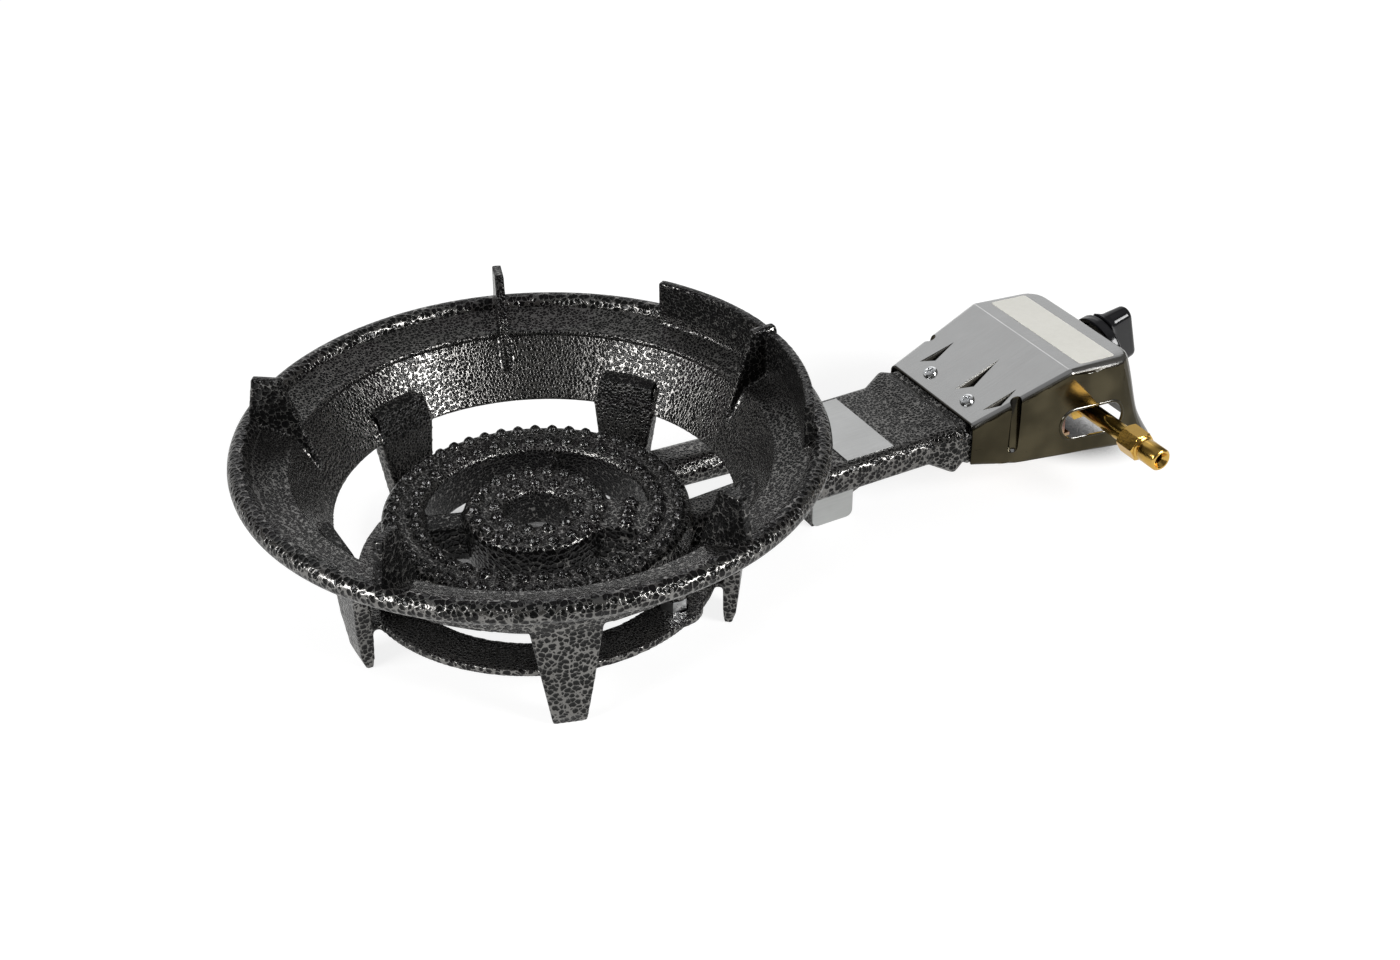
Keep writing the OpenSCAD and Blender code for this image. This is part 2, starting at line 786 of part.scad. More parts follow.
module valve_body() {
  color("#b08d3c") difference() {
    union() {
      on_spindle(barrel_low) cylinder(h = barrel_high - barrel_low, r = barrel_r, $fn = round_fn);
      translate([manifold_x, manifold_len / 2, tube_z]) rotate([90, 0, 0])
        cylinder(h = manifold_len, r = manifold_r, $fn = round_fn);
      translate([manifold_x, 0, tube_z]) rotate([0, 90, 0])
        cylinder(h = valve_x - manifold_x, r = manifold_r, $fn = round_fn);
      translate([inlet_x, 0, inlet_z]) rotate([90, 0, 0]) cylinder(h = boss_y, r = boss_r, $fn = round_fn);
      translate([body_screw_x, 0, shelf_z + seat_gap])
        cylinder(h = tube_z - shelf_z - seat_gap, r = body_foot_r, $fn = round_fn);
    }
    on_spindle(plug_low - hole_gap)
      cylinder(h = barrel_high - plug_low + hole_gap + over, r = plug_r + run_gap, $fn = round_fn);
    translate([inlet_x, 0, inlet_z]) rotate([90, 0, 0]) {
      cylinder(h = boss_y, r = gas_r, $fn = corner_fn);
      translate([0, 0, pipe_start_y]) cylinder(h = boss_y, r = pipe_r + run_gap, $fn = round_fn);
    }
    translate([manifold_x, 0, tube_z]) rotate([0, 90, 0])
      cylinder(h = valve_x - manifold_x, r = gas_r, $fn = corner_fn);
    translate([manifold_x, manifold_len / 2 - tube_wall, tube_z]) rotate([90, 0, 0])
      cylinder(h = manifold_len - 2 * tube_wall, r = gas_r, $fn = corner_fn);
    for (side = [-1, 1]) translate([manifold_x, side * jet_y, tube_z]) rotate([0, -90, 0]) {
      cylinder(h = manifold_r + over, r = jet_bore_r, $fn = corner_fn);
      translate([0, 0, manifold_r - jet_thread_len])
        cylinder(h = jet_thread_len + over, r = jet_shank_r + run_gap, $fn = round_fn);
    }
    for (side = [-1, 1]) on_spindle(barrel_high - bonnet_screw_len + bonnet_t)
      translate([0, side * bonnet_screw_y, 0])
        cylinder(h = bonnet_screw_len, r = bonnet_screw_r + run_gap, $fn = corner_fn);
    translate([body_screw_x, 0, shelf_z - over])
      cylinder(h = body_screw_len, r = body_screw_r + run_gap, $fn = corner_fn);
  }
}

// Screw that holds the valve down on the bracket's shelf
module body_screw() {
  color("#b9bbbd") translate([body_screw_x, 0, plate_low_z]) rotate([180, 0, 0])
    pan_screw(body_screw_r, body_screw_len - over, body_screw_r * 2, pan_h);
}

// Cap of the barrel with the neck that guides the spindle
module valve_bonnet() {
  color("#b08d3c") on_spindle(barrel_high) difference() {
    union() {
      cylinder(h = bonnet_t, r = bonnet_r, $fn = round_fn);
      cylinder(h = bonnet_t + neck_len, r = neck_r, $fn = round_fn);
    }
    translate([0, 0, -over])
      cylinder(h = bonnet_t + neck_len + 2 * over, r = spindle_r + run_gap, $fn = round_fn);
    for (side = [-1, 1]) translate([0, side * bonnet_screw_y, -over])
      cylinder(h = bonnet_t + 2 * over, r = bonnet_screw_r + run_gap, $fn = corner_fn);
  }
}

module bonnet_screws() {
  color("#b9bbbd") for (side = [-1, 1]) on_spindle(barrel_high + bonnet_t)
    translate([0, side * bonnet_screw_y, 0])
      pan_screw(bonnet_screw_r, bonnet_screw_len - over, bonnet_head_r, bonnet_head_h);
}

// Turning plug with its gas way, an axial hole and the slot that the spindle's tongue drives
module valve_plug() {
  color("#c7a24b") on_spindle(plug_low) difference() {
    cylinder(h = plug_high - plug_low, r = plug_r, $fn = round_fn);
    translate([-plug_slot_w / 2, -plug_r - over, plug_slot_low - plug_low])
      cube([plug_slot_w, 2 * (plug_r + over), plug_high - plug_slot_low + over]);
    translate([0, 0, -over]) cylinder(h = gas_r + over, r = gas_r / 2, $fn = corner_fn);
  }
}

// Return spring round the spindle, between the plug and the spindle's collar
module stem_spring() {
  height = collar_low - plug_high - 2 * (spring_wire_r + seat_gap);
  color("#9aa0a6") on_spindle(plug_high + spring_wire_r + seat_gap)
    coil(spring_r, spring_wire_r, height, spring_turns);
}

// Spindle: tongue, spring collar, round shaft
module valve_stem() {
  color("#b9bbbd") union() {
    on_spindle(collar_low) {
      cylinder(h = stem_collar_t, r = stem_collar_r, $fn = round_fn);
      cylinder(h = stem_high - collar_low, r = spindle_r, $fn = round_fn);
    }
    on_spindle(tongue_low) intersection() {
      cylinder(h = collar_low - tongue_low + over, r = spindle_r, $fn = round_fn);
      translate([-plug_slot_w / 2 + run_gap, -spindle_r, 0])
        cube([plug_slot_w - 2 * run_gap, 2 * spindle_r, collar_low - tongue_low + over]);
    }
  }
}

// Knob: round skirt, domed shoulder and a straight grip
module knob() {
  color("#161616") on_spindle(knob_back) difference() {
    union() {
      cylinder(h = skirt_t, r = knob_r, $fn = round_fn);
      translate([0, 0, skirt_t])
        cylinder(h = skirt_fall, r1 = knob_r, r2 = knob_r - skirt_fall, $fn = round_fn);
      intersection() {
        linear_extrude(knob_depth) pill(grip_len, grip_w);
        translate([0, 0, knob_depth - knob_r * 2])
          cylinder(h = knob_r * 2, r1 = knob_r + face_round * 2, r2 = knob_r - face_round, $fn = round_fn);
      }
    }
    translate([0, 0, -over]) cylinder(h = skirt_t, r = knob_r - knob_wall, $fn = round_fn);
    translate([0, 0, -over]) cylinder(h = stem_high - knob_back + over, r = socket_r, $fn = round_fn);
  }
}

module outer_injector() {
  color("#c7a24b") injector(1);
}

module inner_injector() {
  color("#c7a24b") injector(-1);
}

// A jet: drilled tip, round journal for the shutter, hexagon and threaded shank
module injector(side) {
  shoulder = jet_shoulder_x - mouth_x;
  jet_len = manifold_x - manifold_r + jet_thread_len - jet_shoulder_x;
  translate([mouth_x, side * jet_y, tube_z]) rotate([0, 90, 0]) difference() {
    union() {
      translate([0, 0, -jet_tip_len])
        cylinder(h = jet_tip_len, r1 = jet_tip_r, r2 = journal_r, $fn = round_fn);
      cylinder(h = shoulder + over, r = journal_r, $fn = round_fn);
      translate([0, 0, shoulder]) hex_prism(jet_hex, jet_hex_len);
      translate([0, 0, shoulder])
        cylinder(h = jet_len, r = jet_shank_r, $fn = round_fn);
    }
    translate([0, 0, -jet_tip_len / 2]) cylinder(h = manifold_x - mouth_x, r = jet_bore_r, $fn = corner_fn);
    translate([0, 0, -jet_tip_len - over]) cylinder(h = jet_tip_len, r = jet_hole_r, $fn = corner_fn);
  }
}

module outer_air_shutter() {
  color("#c9a94a") air_shutter(1);
}

module inner_air_shutter() {
  color("#c9a94a") air_shutter(-1);
}

// Disc that turns on its jet and covers or clears the air holes
module air_shutter(side) {
  translate([shutter_x, side * jet_y, tube_z]) rotate([0, 90, 0]) difference() {
    union() {
      cylinder(h = shutter_t, r = shutter_r, $fn = round_fn);
      translate([0, -shutter_tab / 2, 0]) cube([shutter_r, shutter_tab, shutter_t + shutter_tab]);
    }
    translate([0, 0, -over]) {
      cylinder(h = shutter_t + shutter_tab + 2 * over, r = journal_hole_r, $fn = round_fn);
      air_holes(shutter_t + shutter_tab + 2 * over);
    }
    translate([0, 0, shutter_t]) cylinder(h = shutter_tab + over, r = shutter_r - shutter_t, $fn = round_fn);
  }
}

// Ring of round air holes
module air_holes(depth) {
  for (k = [0 : air_hole_count - 1]) rotate((k + 0.5) * 360 / air_hole_count) translate([air_ring_r, 0, 0])
    cylinder(h = depth, r = air_hole_r, $fn = corner_fn);
}

module inlet_pipe() {
  length = connector_y + pipe_socket - pipe_start_y;
  color("#b5893a") on_inlet(pipe_start_y) difference() {
    cylinder(h = length, r = pipe_r, $fn = round_fn);
    translate([0, 0, -over]) cylinder(h = length + 2 * over, r = pipe_r - pipe_wall, $fn = round_fn);
  }
}

// Nut that holds the pipe in the valve
module pipe_nut() {
  color("#b5893a") on_inlet(boss_y + seat_gap) difference() {
    hex_prism(pipe_nut_af, pipe_nut_len);
    translate([0, 0, -over]) cylinder(h = pipe_nut_len + 2 * over, r = pipe_r + run_gap, $fn = round_fn);
  }
}

// Inlet: hexagon, relief neck and threaded spigot with a bore
module inlet_connector() {
  hex_len = inlet_reach - connector_y - spigot_len - neck_step_len;
  color("#c8963a") on_inlet(connector_y) difference() {
    union() {
      hex_prism(inlet_hex, hex_len);
      cylinder(h = hex_len + neck_step_len + over, r = neck_step_r, $fn = round_fn);
      translate([0, 0, hex_len + neck_step_len])
        cylinder(h = spigot_len - spigot_chamfer, r = spigot_r, $fn = round_fn);
      translate([0, 0, hex_len + neck_step_len + spigot_len - spigot_chamfer])
        cylinder(h = spigot_chamfer, r1 = spigot_r, r2 = spigot_r - spigot_chamfer, $fn = round_fn);
    }
    translate([0, 0, -over]) cylinder(h = pipe_socket + over, r = pipe_r + run_gap, $fn = round_fn);
    cylinder(h = inlet_reach, r = spigot_bore_r, $fn = round_fn);
  }
}

// Pressed sheet cover, open in front and below, with darts, beads, a pipe slot and a spindle hole
module valve_cover() {
  color("#b4b7ba") difference() {
    union() {
      difference() {
        hull() cover_shell(cover_edge_r, false);
        hull() cover_shell(cover_edge_r - sheet_t, true);
      }
      darts(sheet_t, -dart_depth - sheet_t);
    }
    darts(0, -dart_depth);
    translate([slot_x, 0, slot_z]) rotate([90, slot_turn, 0]) linear_extrude(cover_tail_half + over)
      pill(slot_len, slot_h);
    on_spindle(knob_back / 2) cylinder(h = knob_back, r = hub_r + hole_gap, $fn = round_fn);
    for (y = cover_screw_ys) on_slope(cover_screw_along, y, -2 * sheet_t)
      cylinder(h = 3 * sheet_t, r = cover_screw_r + hole_gap / 2, $fn = corner_fn);
  }
}

// The balls whose hull is the cover's skin, or its hollow run on past the open edges
module cover_shell(edge_r, open) {
  for (side = [-1, 1]) {
    pts = [for (i = [0 : cover_n - 1])
      [cover_centres[i][0], side * (cover_halves[i] - cover_edge_r), cover_centres[i][1]]];
    for (p = pts) translate(p) sphere(edge_r, $fn = edge_fn);
    if (open) {
      front_low = pts[0] + open_front_share * (pts[0] - pts[cover_n - 1]);
      front_top = pts[1] + open_front_share * (pts[1] - pts[2]);
      for (p = [front_low, front_top, front_low + open_low_share * (pts[0] - pts[1]),
          pts[4] + open_tail_share * (pts[4] - pts[3]), pts[5] + open_low_share * (pts[0] - pts[1])])
        translate(p) sphere(edge_r, $fn = edge_fn);
    }
  }
}

// Long pointed dents in the sloping front, wide at their lower end
module darts(grow, low) {
  for (k = [0 : len(dart_lens) - 1]) on_slope(dart_along, dart_ys[k], low)
    linear_extrude(-low + (grow > 0 ? -sheet_t / 2 : over)) polygon([
      [-grow, -dart_w / 2 - grow],
      [dart_lens[k] + grow, 0],
      [-grow, dart_w / 2 + grow]
    ]);
}

module cover_screws() {
  color("#c9ccce") for (y = cover_screw_ys) on_slope(cover_screw_along, y, 0)
    pan_screw(cover_screw_r, cover_screw_len - over, pan_r, pan_h);
}

// Blank label on the cover's flat top
module cover_label() {
  w = 2 * (cover_top_half - label_margin);
  color("#e9e7df") translate([crest_x, 0, crest_z]) rotate([0, -top_turn, 0])
    translate([cover_label_from, -w / 2, 0]) cube([cover_label_len, w, cover_label_t]);
}

// Upright plate in the XZ plane, centred on Y
module slab(t) {
  translate([0, t / 2, 0]) rotate([90, 0, 0]) linear_extrude(t) children();
}

// Rectangle with round corners
module soft_rect(w, h, r) {
  square([w - 2 * r, h], center = true);
  square([w, h - 2 * r], center = true);
  for (x = [-1, 1], y = [-1, 1])
    translate([x * (w / 2 - r), y * (h / 2 - r)]) circle(r, $fn = round_fn);
}

// Long hole with full round ends
module pill(w, h) {
  square([w - h, h], center = true);
  for (x = [-1, 1]) translate([x * (w - h) / 2, 0]) circle(h / 2, $fn = round_fn);
}

// Hexagonal prism by its width across the flats
module hex_prism(across, h) {
  cylinder(h = h, d = across / cos(180 / hex_sides), $fn = hex_sides);
}

module washer(out_r, in_r, t) {
  difference() {
    cylinder(h = t, r = out_r, $fn = round_fn);
    translate([0, 0, -over]) cylinder(h = t + 2 * over, r = in_r, $fn = round_fn);
  }
}

// Screw with a domed head on the plane and its shank below
module pan_screw(shank_r, shank_len, head_r, head_h) {
  ball_r = (head_r * head_r + head_h * head_h) / (2 * head_h);
  translate([0, 0, -shank_len]) cylinder(h = shank_len + head_h / 2, r = shank_r, $fn = corner_fn);
  intersection() {
    cylinder(h = head_h, r = head_r, $fn = round_fn);
    translate([0, 0, head_h - ball_r]) sphere(ball_r, $fn = round_fn);
  }
}

// Round wire wound into a spring, as one swept tube
module coil(r, wire_r, height, turns) {
  n = turns * spring_steps;
  rings = [for (i = [0 : n], k = [0 : spring_sides - 1])
    let (a = 360 * i / spring_steps, b = 360 * k / spring_sides, q = r + wire_r * cos(b))
    [q * cos(a), q * sin(a), height * i / n + wire_r * sin(b)]];
  sides = [for (i = [0 : n - 1], k = [0 : spring_sides - 1], half = [0, 1])
    let (a = i * spring_sides + k, b = i * spring_sides + (k + 1) % spring_sides)
    half == 0 ? [a, b, b + spring_sides] : [a, b + spring_sides, a + spring_sides]];
  start = [for (k = [1 : spring_sides - 2]) [0, k + 1, k]];
  last = n * spring_sides;
  finish = [for (k = [1 : spring_sides - 2]) [last, last + k, last + k + 1]];
  polyhedron(points = rings, faces = concat(sides, start, finish));
}

// Places its children on the three bolt places of the burner
module each_seat() {
  for (k = [0 : seat_count - 1])
    rotate(seat_turn + k * 360 / seat_count) translate([seat_r, 0, 0]) children();
}

// Frame on the tilted spindle, a distance from the middle of the barrel, with Z along the spindle
module on_spindle(along) {
  translate([valve_x, 0, valve_z]) rotate([0, 90 - spindle_tilt, 0]) translate([0, 0, along]) children();
}

// Frame on the gas inlet, with Z running out along -Y
module on_inlet(along) {
  translate([inlet_x, -along, inlet_z]) rotate([90, 0, 0]) children();
}

// Frame on the cover's sloping front, with X up the slope and Z out of the sheet
module on_slope(along, y, out) {
  translate([cover_x, 0, cover_front_z]) rotate([0, -slope_turn, 0]) translate([along, y, out]) children();
}

stand();
burner_body();
burner_bolts();
burner_washers();
burner_nuts();
rating_label();
foot_plate();
valve_bracket();
bracket_screws();
valve_body();
body_screw();
valve_bonnet();
bonnet_screws();
valve_plug();
stem_spring();
valve_stem();
knob();
outer_injector();
inner_injector();
outer_air_shutter();
inner_air_shutter();
inlet_pipe();
pipe_nut();
inlet_connector();
valve_cover();
cover_screws();
cover_label();
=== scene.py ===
"""Looks of a cast wok burner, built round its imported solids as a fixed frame."""

import math

import bmesh
import bpy
from bpy.props import FloatProperty, FloatVectorProperty, IntProperty, PointerProperty
from bpy.types import Operator, Panel, PropertyGroup
from mathutils import Matrix, Vector, noise
from mathutils.bvhtree import BVHTree


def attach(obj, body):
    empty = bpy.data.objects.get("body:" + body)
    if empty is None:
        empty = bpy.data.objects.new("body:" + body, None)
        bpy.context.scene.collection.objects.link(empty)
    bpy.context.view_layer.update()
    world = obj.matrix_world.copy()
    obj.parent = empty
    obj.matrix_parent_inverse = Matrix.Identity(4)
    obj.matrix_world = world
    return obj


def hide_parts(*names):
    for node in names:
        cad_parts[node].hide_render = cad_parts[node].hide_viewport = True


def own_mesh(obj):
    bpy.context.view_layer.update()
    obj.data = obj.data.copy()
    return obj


bl_info = {
    "name": "Wok burner",
    "version": (1, 0, 0),
    "blender": (4, 5, 0),
    "location": "3D View > Sidebar > Wok burner",
    "description": "Castings, sheet cover, knob and gas inlet of a wok burner",
    "category": "Object",
}

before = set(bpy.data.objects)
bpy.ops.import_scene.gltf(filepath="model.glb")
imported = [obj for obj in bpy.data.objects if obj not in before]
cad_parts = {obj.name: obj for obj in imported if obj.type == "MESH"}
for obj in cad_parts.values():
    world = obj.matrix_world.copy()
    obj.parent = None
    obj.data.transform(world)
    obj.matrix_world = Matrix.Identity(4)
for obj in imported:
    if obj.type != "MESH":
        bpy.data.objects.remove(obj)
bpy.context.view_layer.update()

MM = 0.001

# Bowl of the stand: a point of its inner cone as radius and height in mm, and the way out of the cone, inward and up
BOWL_POINT = (102.0, 63.0)
BOWL_OUT = (0.845, 0.535)
# Upright step between the bowl's bands: radius and height, in mm
STEP_PROFILE = (
    *((127.5, 97.05), (124.5, 96.32), (122.2, 95.75), (121.4, 95.48), (120.95, 95.15), (120.7, 94.65)),
    *((120.6, 94.0), (120.65, 93.2), (120.8, 92.2), (124.0, 92.0), (127.5, 95.0)),
)
# Round bead of the lip: radius and height of its middle, and its own radius, in mm
LIP_BEAD = (144.4, 100.7, 5.7)
# Legs: how many, and in degrees the turn of the first and the pitch from one to the next
LEG_COUNT, FIRST_LEG, LEG_PITCH = 5, 36.0, 72.0
# Side view of the pad inside a leg: radius, height and half the width there, in mm
PAD_PROFILE = (
    *((115.0, 79.4, 15.5), (104.2, 76.6, 15.5), (99.3, 62.0, 16.8)),
    *((99.8, 50.0, 15.0), (104.0, 50.0, 15.0), (113.0, 73.0, 16.0)),
)
# Rows of burner ports: number, radius in mm and turn of the first one in degrees
PORT_ROWS = ((50, 73.5, 0.0), (40, 62.5, 4.5), (21, 32.0, 3.0), (13, 21.5, 11.0))
# Ports on the bridge: radius of the middle one in mm, its turn in degrees, and the step to the next in mm
BRIDGE_PORTS = (47.25, -36.0, 9.0)
# Height of the burner head's top in mm, and the seed of the ports' lean
HEAD_Z = 59.5
PORT_SEED = 7
# Corners of the cover's side view: place along the tubes, height, and half the width there, in mm
COVER_CORNERS = (
    (246.0, 29.0, 40.5),
    (246.0, 53.5, 40.5),
    (307.0, 74.5, 47.5),
    (352.0, 71.5, 47.5),
    (369.0, 17.5, 54.5),
    (273.0, 24.5, 45.5),
)
# The corners where the sloping front and the flat top start, and the two behind that have wide radii
SLOPE, TOP = 1, 2
BACK_CORNERS = (3, 4)
# Dents in the sloping front: far corner, near corner and tip, each up the slope and across, in mm
COVER_DENTS = (
    ((12.2, 28.5), (18.7, 21.8), (35.6, 26.4)),
    ((11.5, -6.7), (20.0, -13.5), (43.9, -6.2)),
    ((11.4, -33.0), (20.5, -38.2), (34.6, -34.0)),
)
# Screws in the sloping front: up the slope and across, in mm
COVER_SCREWS = ((10.5, -20.0), (10.5, 15.5))
# Ends of a side groove: place along the tubes, height, and how much deeper it is there, in mm
GROOVE_ENDS = ((271.0, 34.5, 0.0), (272.5, 55.0, 1.8))
# Pipe slot: its middle in mm, tilt, and length and width in mm
SLOT_MIDDLE = (322.0, 0.0, 40.0)
SLOT_TILT = math.radians(-2.0)
SLOT_SIZE = (41.0, 18.0)
# Middle of the valve and radius of the spindle's hole in the cover, in mm
VALVE_MIDDLE = (330.0, 0.0, 42.0)
SPINDLE_HOLE = 7.0
# The way that the knob's spindle points, and how far it is pushed in: 3 mm and a little play, in metres
SPINDLE_TILT = math.radians(14.0)
SPINDLE = Vector((math.cos(SPINDLE_TILT), 0.0, math.sin(SPINDLE_TILT)))
# Foot of the knob's skirt on the spindle, and foot of the inlet's hexagon, in mm
KNOB_FOOT = 34.5
INLET_FOOT = (329.5, -72.0, 38.5)

# Metals: colour, roughness, strength of the lines and of the smudges, fineness of the lines along X, Y and Z,
# height of the lines in metres, and a second colour that drifts over the first
METALS = {
    "Zinc-plated steel": ((0.55, 0.56, 0.57), 0.30, 0.10, 0.16, (300.0, 300.0, 300.0), 0.000004, None),
    "Spring steel": ((0.42, 0.42, 0.43), 0.28, 0.12, 0.10, (400.0, 400.0, 900.0), 0.000004, None),
    "Matt foil": ((0.68, 0.685, 0.68), 0.38, 0.10, 0.14, (60.0, 1800.0, 60.0), 0.00001, None),
    "Dull plate": ((0.53, 0.54, 0.535), 0.42, 0.08, 0.18, (60.0, 900.0, 900.0), 0.00001, None),
    "Sheet, inside": ((0.10, 0.095, 0.085), 0.50, 0.12, 0.25, (25.0, 900.0, 200.0), 0.000004, None),
    "Bright screws": ((0.66, 0.67, 0.68), 0.16, 0.06, 0.08, (500.0, 500.0, 500.0), 0.000004, None),
    "Spindle brass": ((0.66, 0.46, 0.17), 0.24, 0.10, 0.10, (900.0, 300.0, 900.0), 0.000004, None),
    "Turned brass": ((0.70, 0.44, 0.11), 0.20, 0.10, 0.10, (200.0, 2600.0, 200.0), 0.000004, None),
    "Drawn brass": ((0.66, 0.44, 0.12), 0.17, 0.08, 0.12, (1800.0, 60.0, 1800.0), 0.000004, None),
    "Cast brass": ((0.50, 0.34, 0.12), 0.42, 0.16, 0.20, (900.0, 900.0, 900.0), 0.00006, (0.42, 0.30, 0.13)),
    "Yellow zinc": ((0.55, 0.43, 0.17), 0.30, 0.10, 0.16, (80.0, 900.0, 300.0), 0.00001, (0.50, 0.30, 0.25)),
}

# Lamps: name, place, target, and width and height, in metres
LAMPS = (
    ("left_lamp", (-2.66, -0.20, 1.42), (0.0, 0.0, 0.06), (1.7, 1.0)),
    ("right_lamp", (1.53, -2.20, 1.47), (0.05, 0.0, 0.06), (1.1, 1.0)),
)
# Painted shadow on the floor under the burner and under the cover: middle, and the radii between which it fades, in
# metres
FLOOR_SHADES = (((0.025, 0.075, 0.0), 0.048, 0.100), ((0.362, 0.008, 0.0), 0.024, 0.060))
# Camera: turn, rise and roll in degrees, the point that it aims past, how far to the right of that point and above
# it, and its distance, in metres
CAMERA_ANGLES = (-29.418, 33.145, -0.271)
CAMERA_POINT = (0.0, 0.0, 0.056)
CAMERA_SHIFT = (0.083667, 0.01683)
CAMERA_AWAY = 1.0336


def length(name, description, default):
    """A size that a user may change, in metres."""
    return FloatProperty(
        name=name, description=description, default=default, min=0.0, precision=5, subtype="DISTANCE", unit="LENGTH"
    )


def tint(name, description, default):
    """A colour that a user may change."""
    return FloatVectorProperty(
        name=name, description=description, default=default, min=0.0, max=1.0, size=3, subtype="COLOR"
    )


def share(name, description, default):
    """A plain number from nought to one."""
    return FloatProperty(name=name, description=description, default=default, min=0.0, max=1.0, subtype="FACTOR")


class HammeredPaint(PropertyGroup):
    """Finish of the two castings."""

    cell: length("Cell size", "Distance between the dark cells of the paint", 0.0029)
    fine: share("Fine share", "Size of the cells on faces that look up or inward, against the rest", 0.58)
    relief: length("Relief", "How far the light veins stand above the dark cells", 0.00030)
    dark: tint("Cell colour", "Colour of the dark cells", (0.004, 0.004, 0.004))
    light: tint("Vein colour", "Colour of the metallic veins", (0.225, 0.220, 0.212))
    vein: share("Vein share", "How wide the veins are against the cells", 0.056)
    # Narrower veins on fins, pads and hollows darken them: painted shade.
    painted_shade: share("Thin paint", "How much narrower the veins are on fins, pads and hollows", 0.085)


class CastingShape(PropertyGroup):
    """How soft the castings' edges are, and their ports."""

    voxel: length("Grain", "Size of the grid that rounds the edges", 0.0009)
    rounds: IntProperty(name="Rounding", description="Passes of edge rounding", default=3, min=0, max=30)
    dome_r: length("Dome radius", "Radius of the dome round each port", 0.0032)
    port_r: length("Port radius", "Radius of the drilled port", 0.0010)


class CoverShape(PropertyGroup):
    """Pressed sheet cover over the valve."""

    sheet: length("Sheet", "Thickness of the sheet", 0.0012)
    edge: length("Edge radius", "Radius of the folded edges", 0.004)
    back_edge: length("Back corner radius", "Radius of the upright corners at the back", 0.013)
    flare: length("Flare", "How far the back corners sweep in above their foot", 0.0032)
    dent_depth: length("Dent depth", "Depth of the three dents in the slope", 0.0036)
    dent_wall: length("Dent wall", "Width of a dent's steep far wall", 0.0030)
    groove_r: length("Groove radius", "Radius of the bar that pressed the side grooves", 0.0033)
    groove_depth: length("Groove depth", "Depth of the grooves in the sides", 0.0027)
    bright: tint("Top colour", "Colour of the bright sheet", (0.60, 0.60, 0.595))
    # The side colour is a painted reflection: dark surroundings mirrored in the upright faces.
    side_reflection: tint("Side colour", "Colour of the reflection_darkened sides", (0.049, 0.042, 0.026))


class KnobShape(PropertyGroup):
    """Push-and-turn knob."""

    radius: length("Skirt radius", "Radius of the round skirt", 0.0195)
    depth: length("Depth", "Height of the grip above the skirt's foot", 0.025)
    grip_len: length("Grip length", "Length of the grip", 0.037)
    grip_width: length("Grip width", "Width of the grip", 0.014)
    colour: tint("Colour", "Colour of the moulding", (0.008, 0.008, 0.009))


class InletShape(PropertyGroup):
    """Brass gas inlet."""

    flats: length("Across flats", "Width of the hexagon across its flats", 0.015)
    spigot_r: length("Spigot radius", "Radius of the spigot", 0.00658)
    bore_r: length("Bore radius", "Radius of the gas way", 0.0026)
    colour: tint("Brass", "Colour of turned brass", METALS["Turned brass"][0])


class StageLook(PropertyGroup):
    """Floor, lamps and camera."""

    floor: length("Floor size", "Length of the square floor's side", 40.0)
    left_power: FloatProperty(name="Left lamp", description="Power of the left lamp", default=70.0, unit="POWER")
    right_power: FloatProperty(name="Right lamp", description="Power of the right lamp", default=70.0, unit="POWER")
    lens: FloatProperty(name="Lens", description="Focal length on a 36 mm frame", default=51.874, unit="CAMERA")


class WokBurner(PropertyGroup):
    """All the settings of the part."""

    paint: PointerProperty(type=HammeredPaint)
    casting: PointerProperty(type=CastingShape)
    cover: PointerProperty(type=CoverShape)
    knob: PointerProperty(type=KnobShape)
    inlet: PointerProperty(type=InletShape)
    stage: PointerProperty(type=StageLook)


# Shader nodes


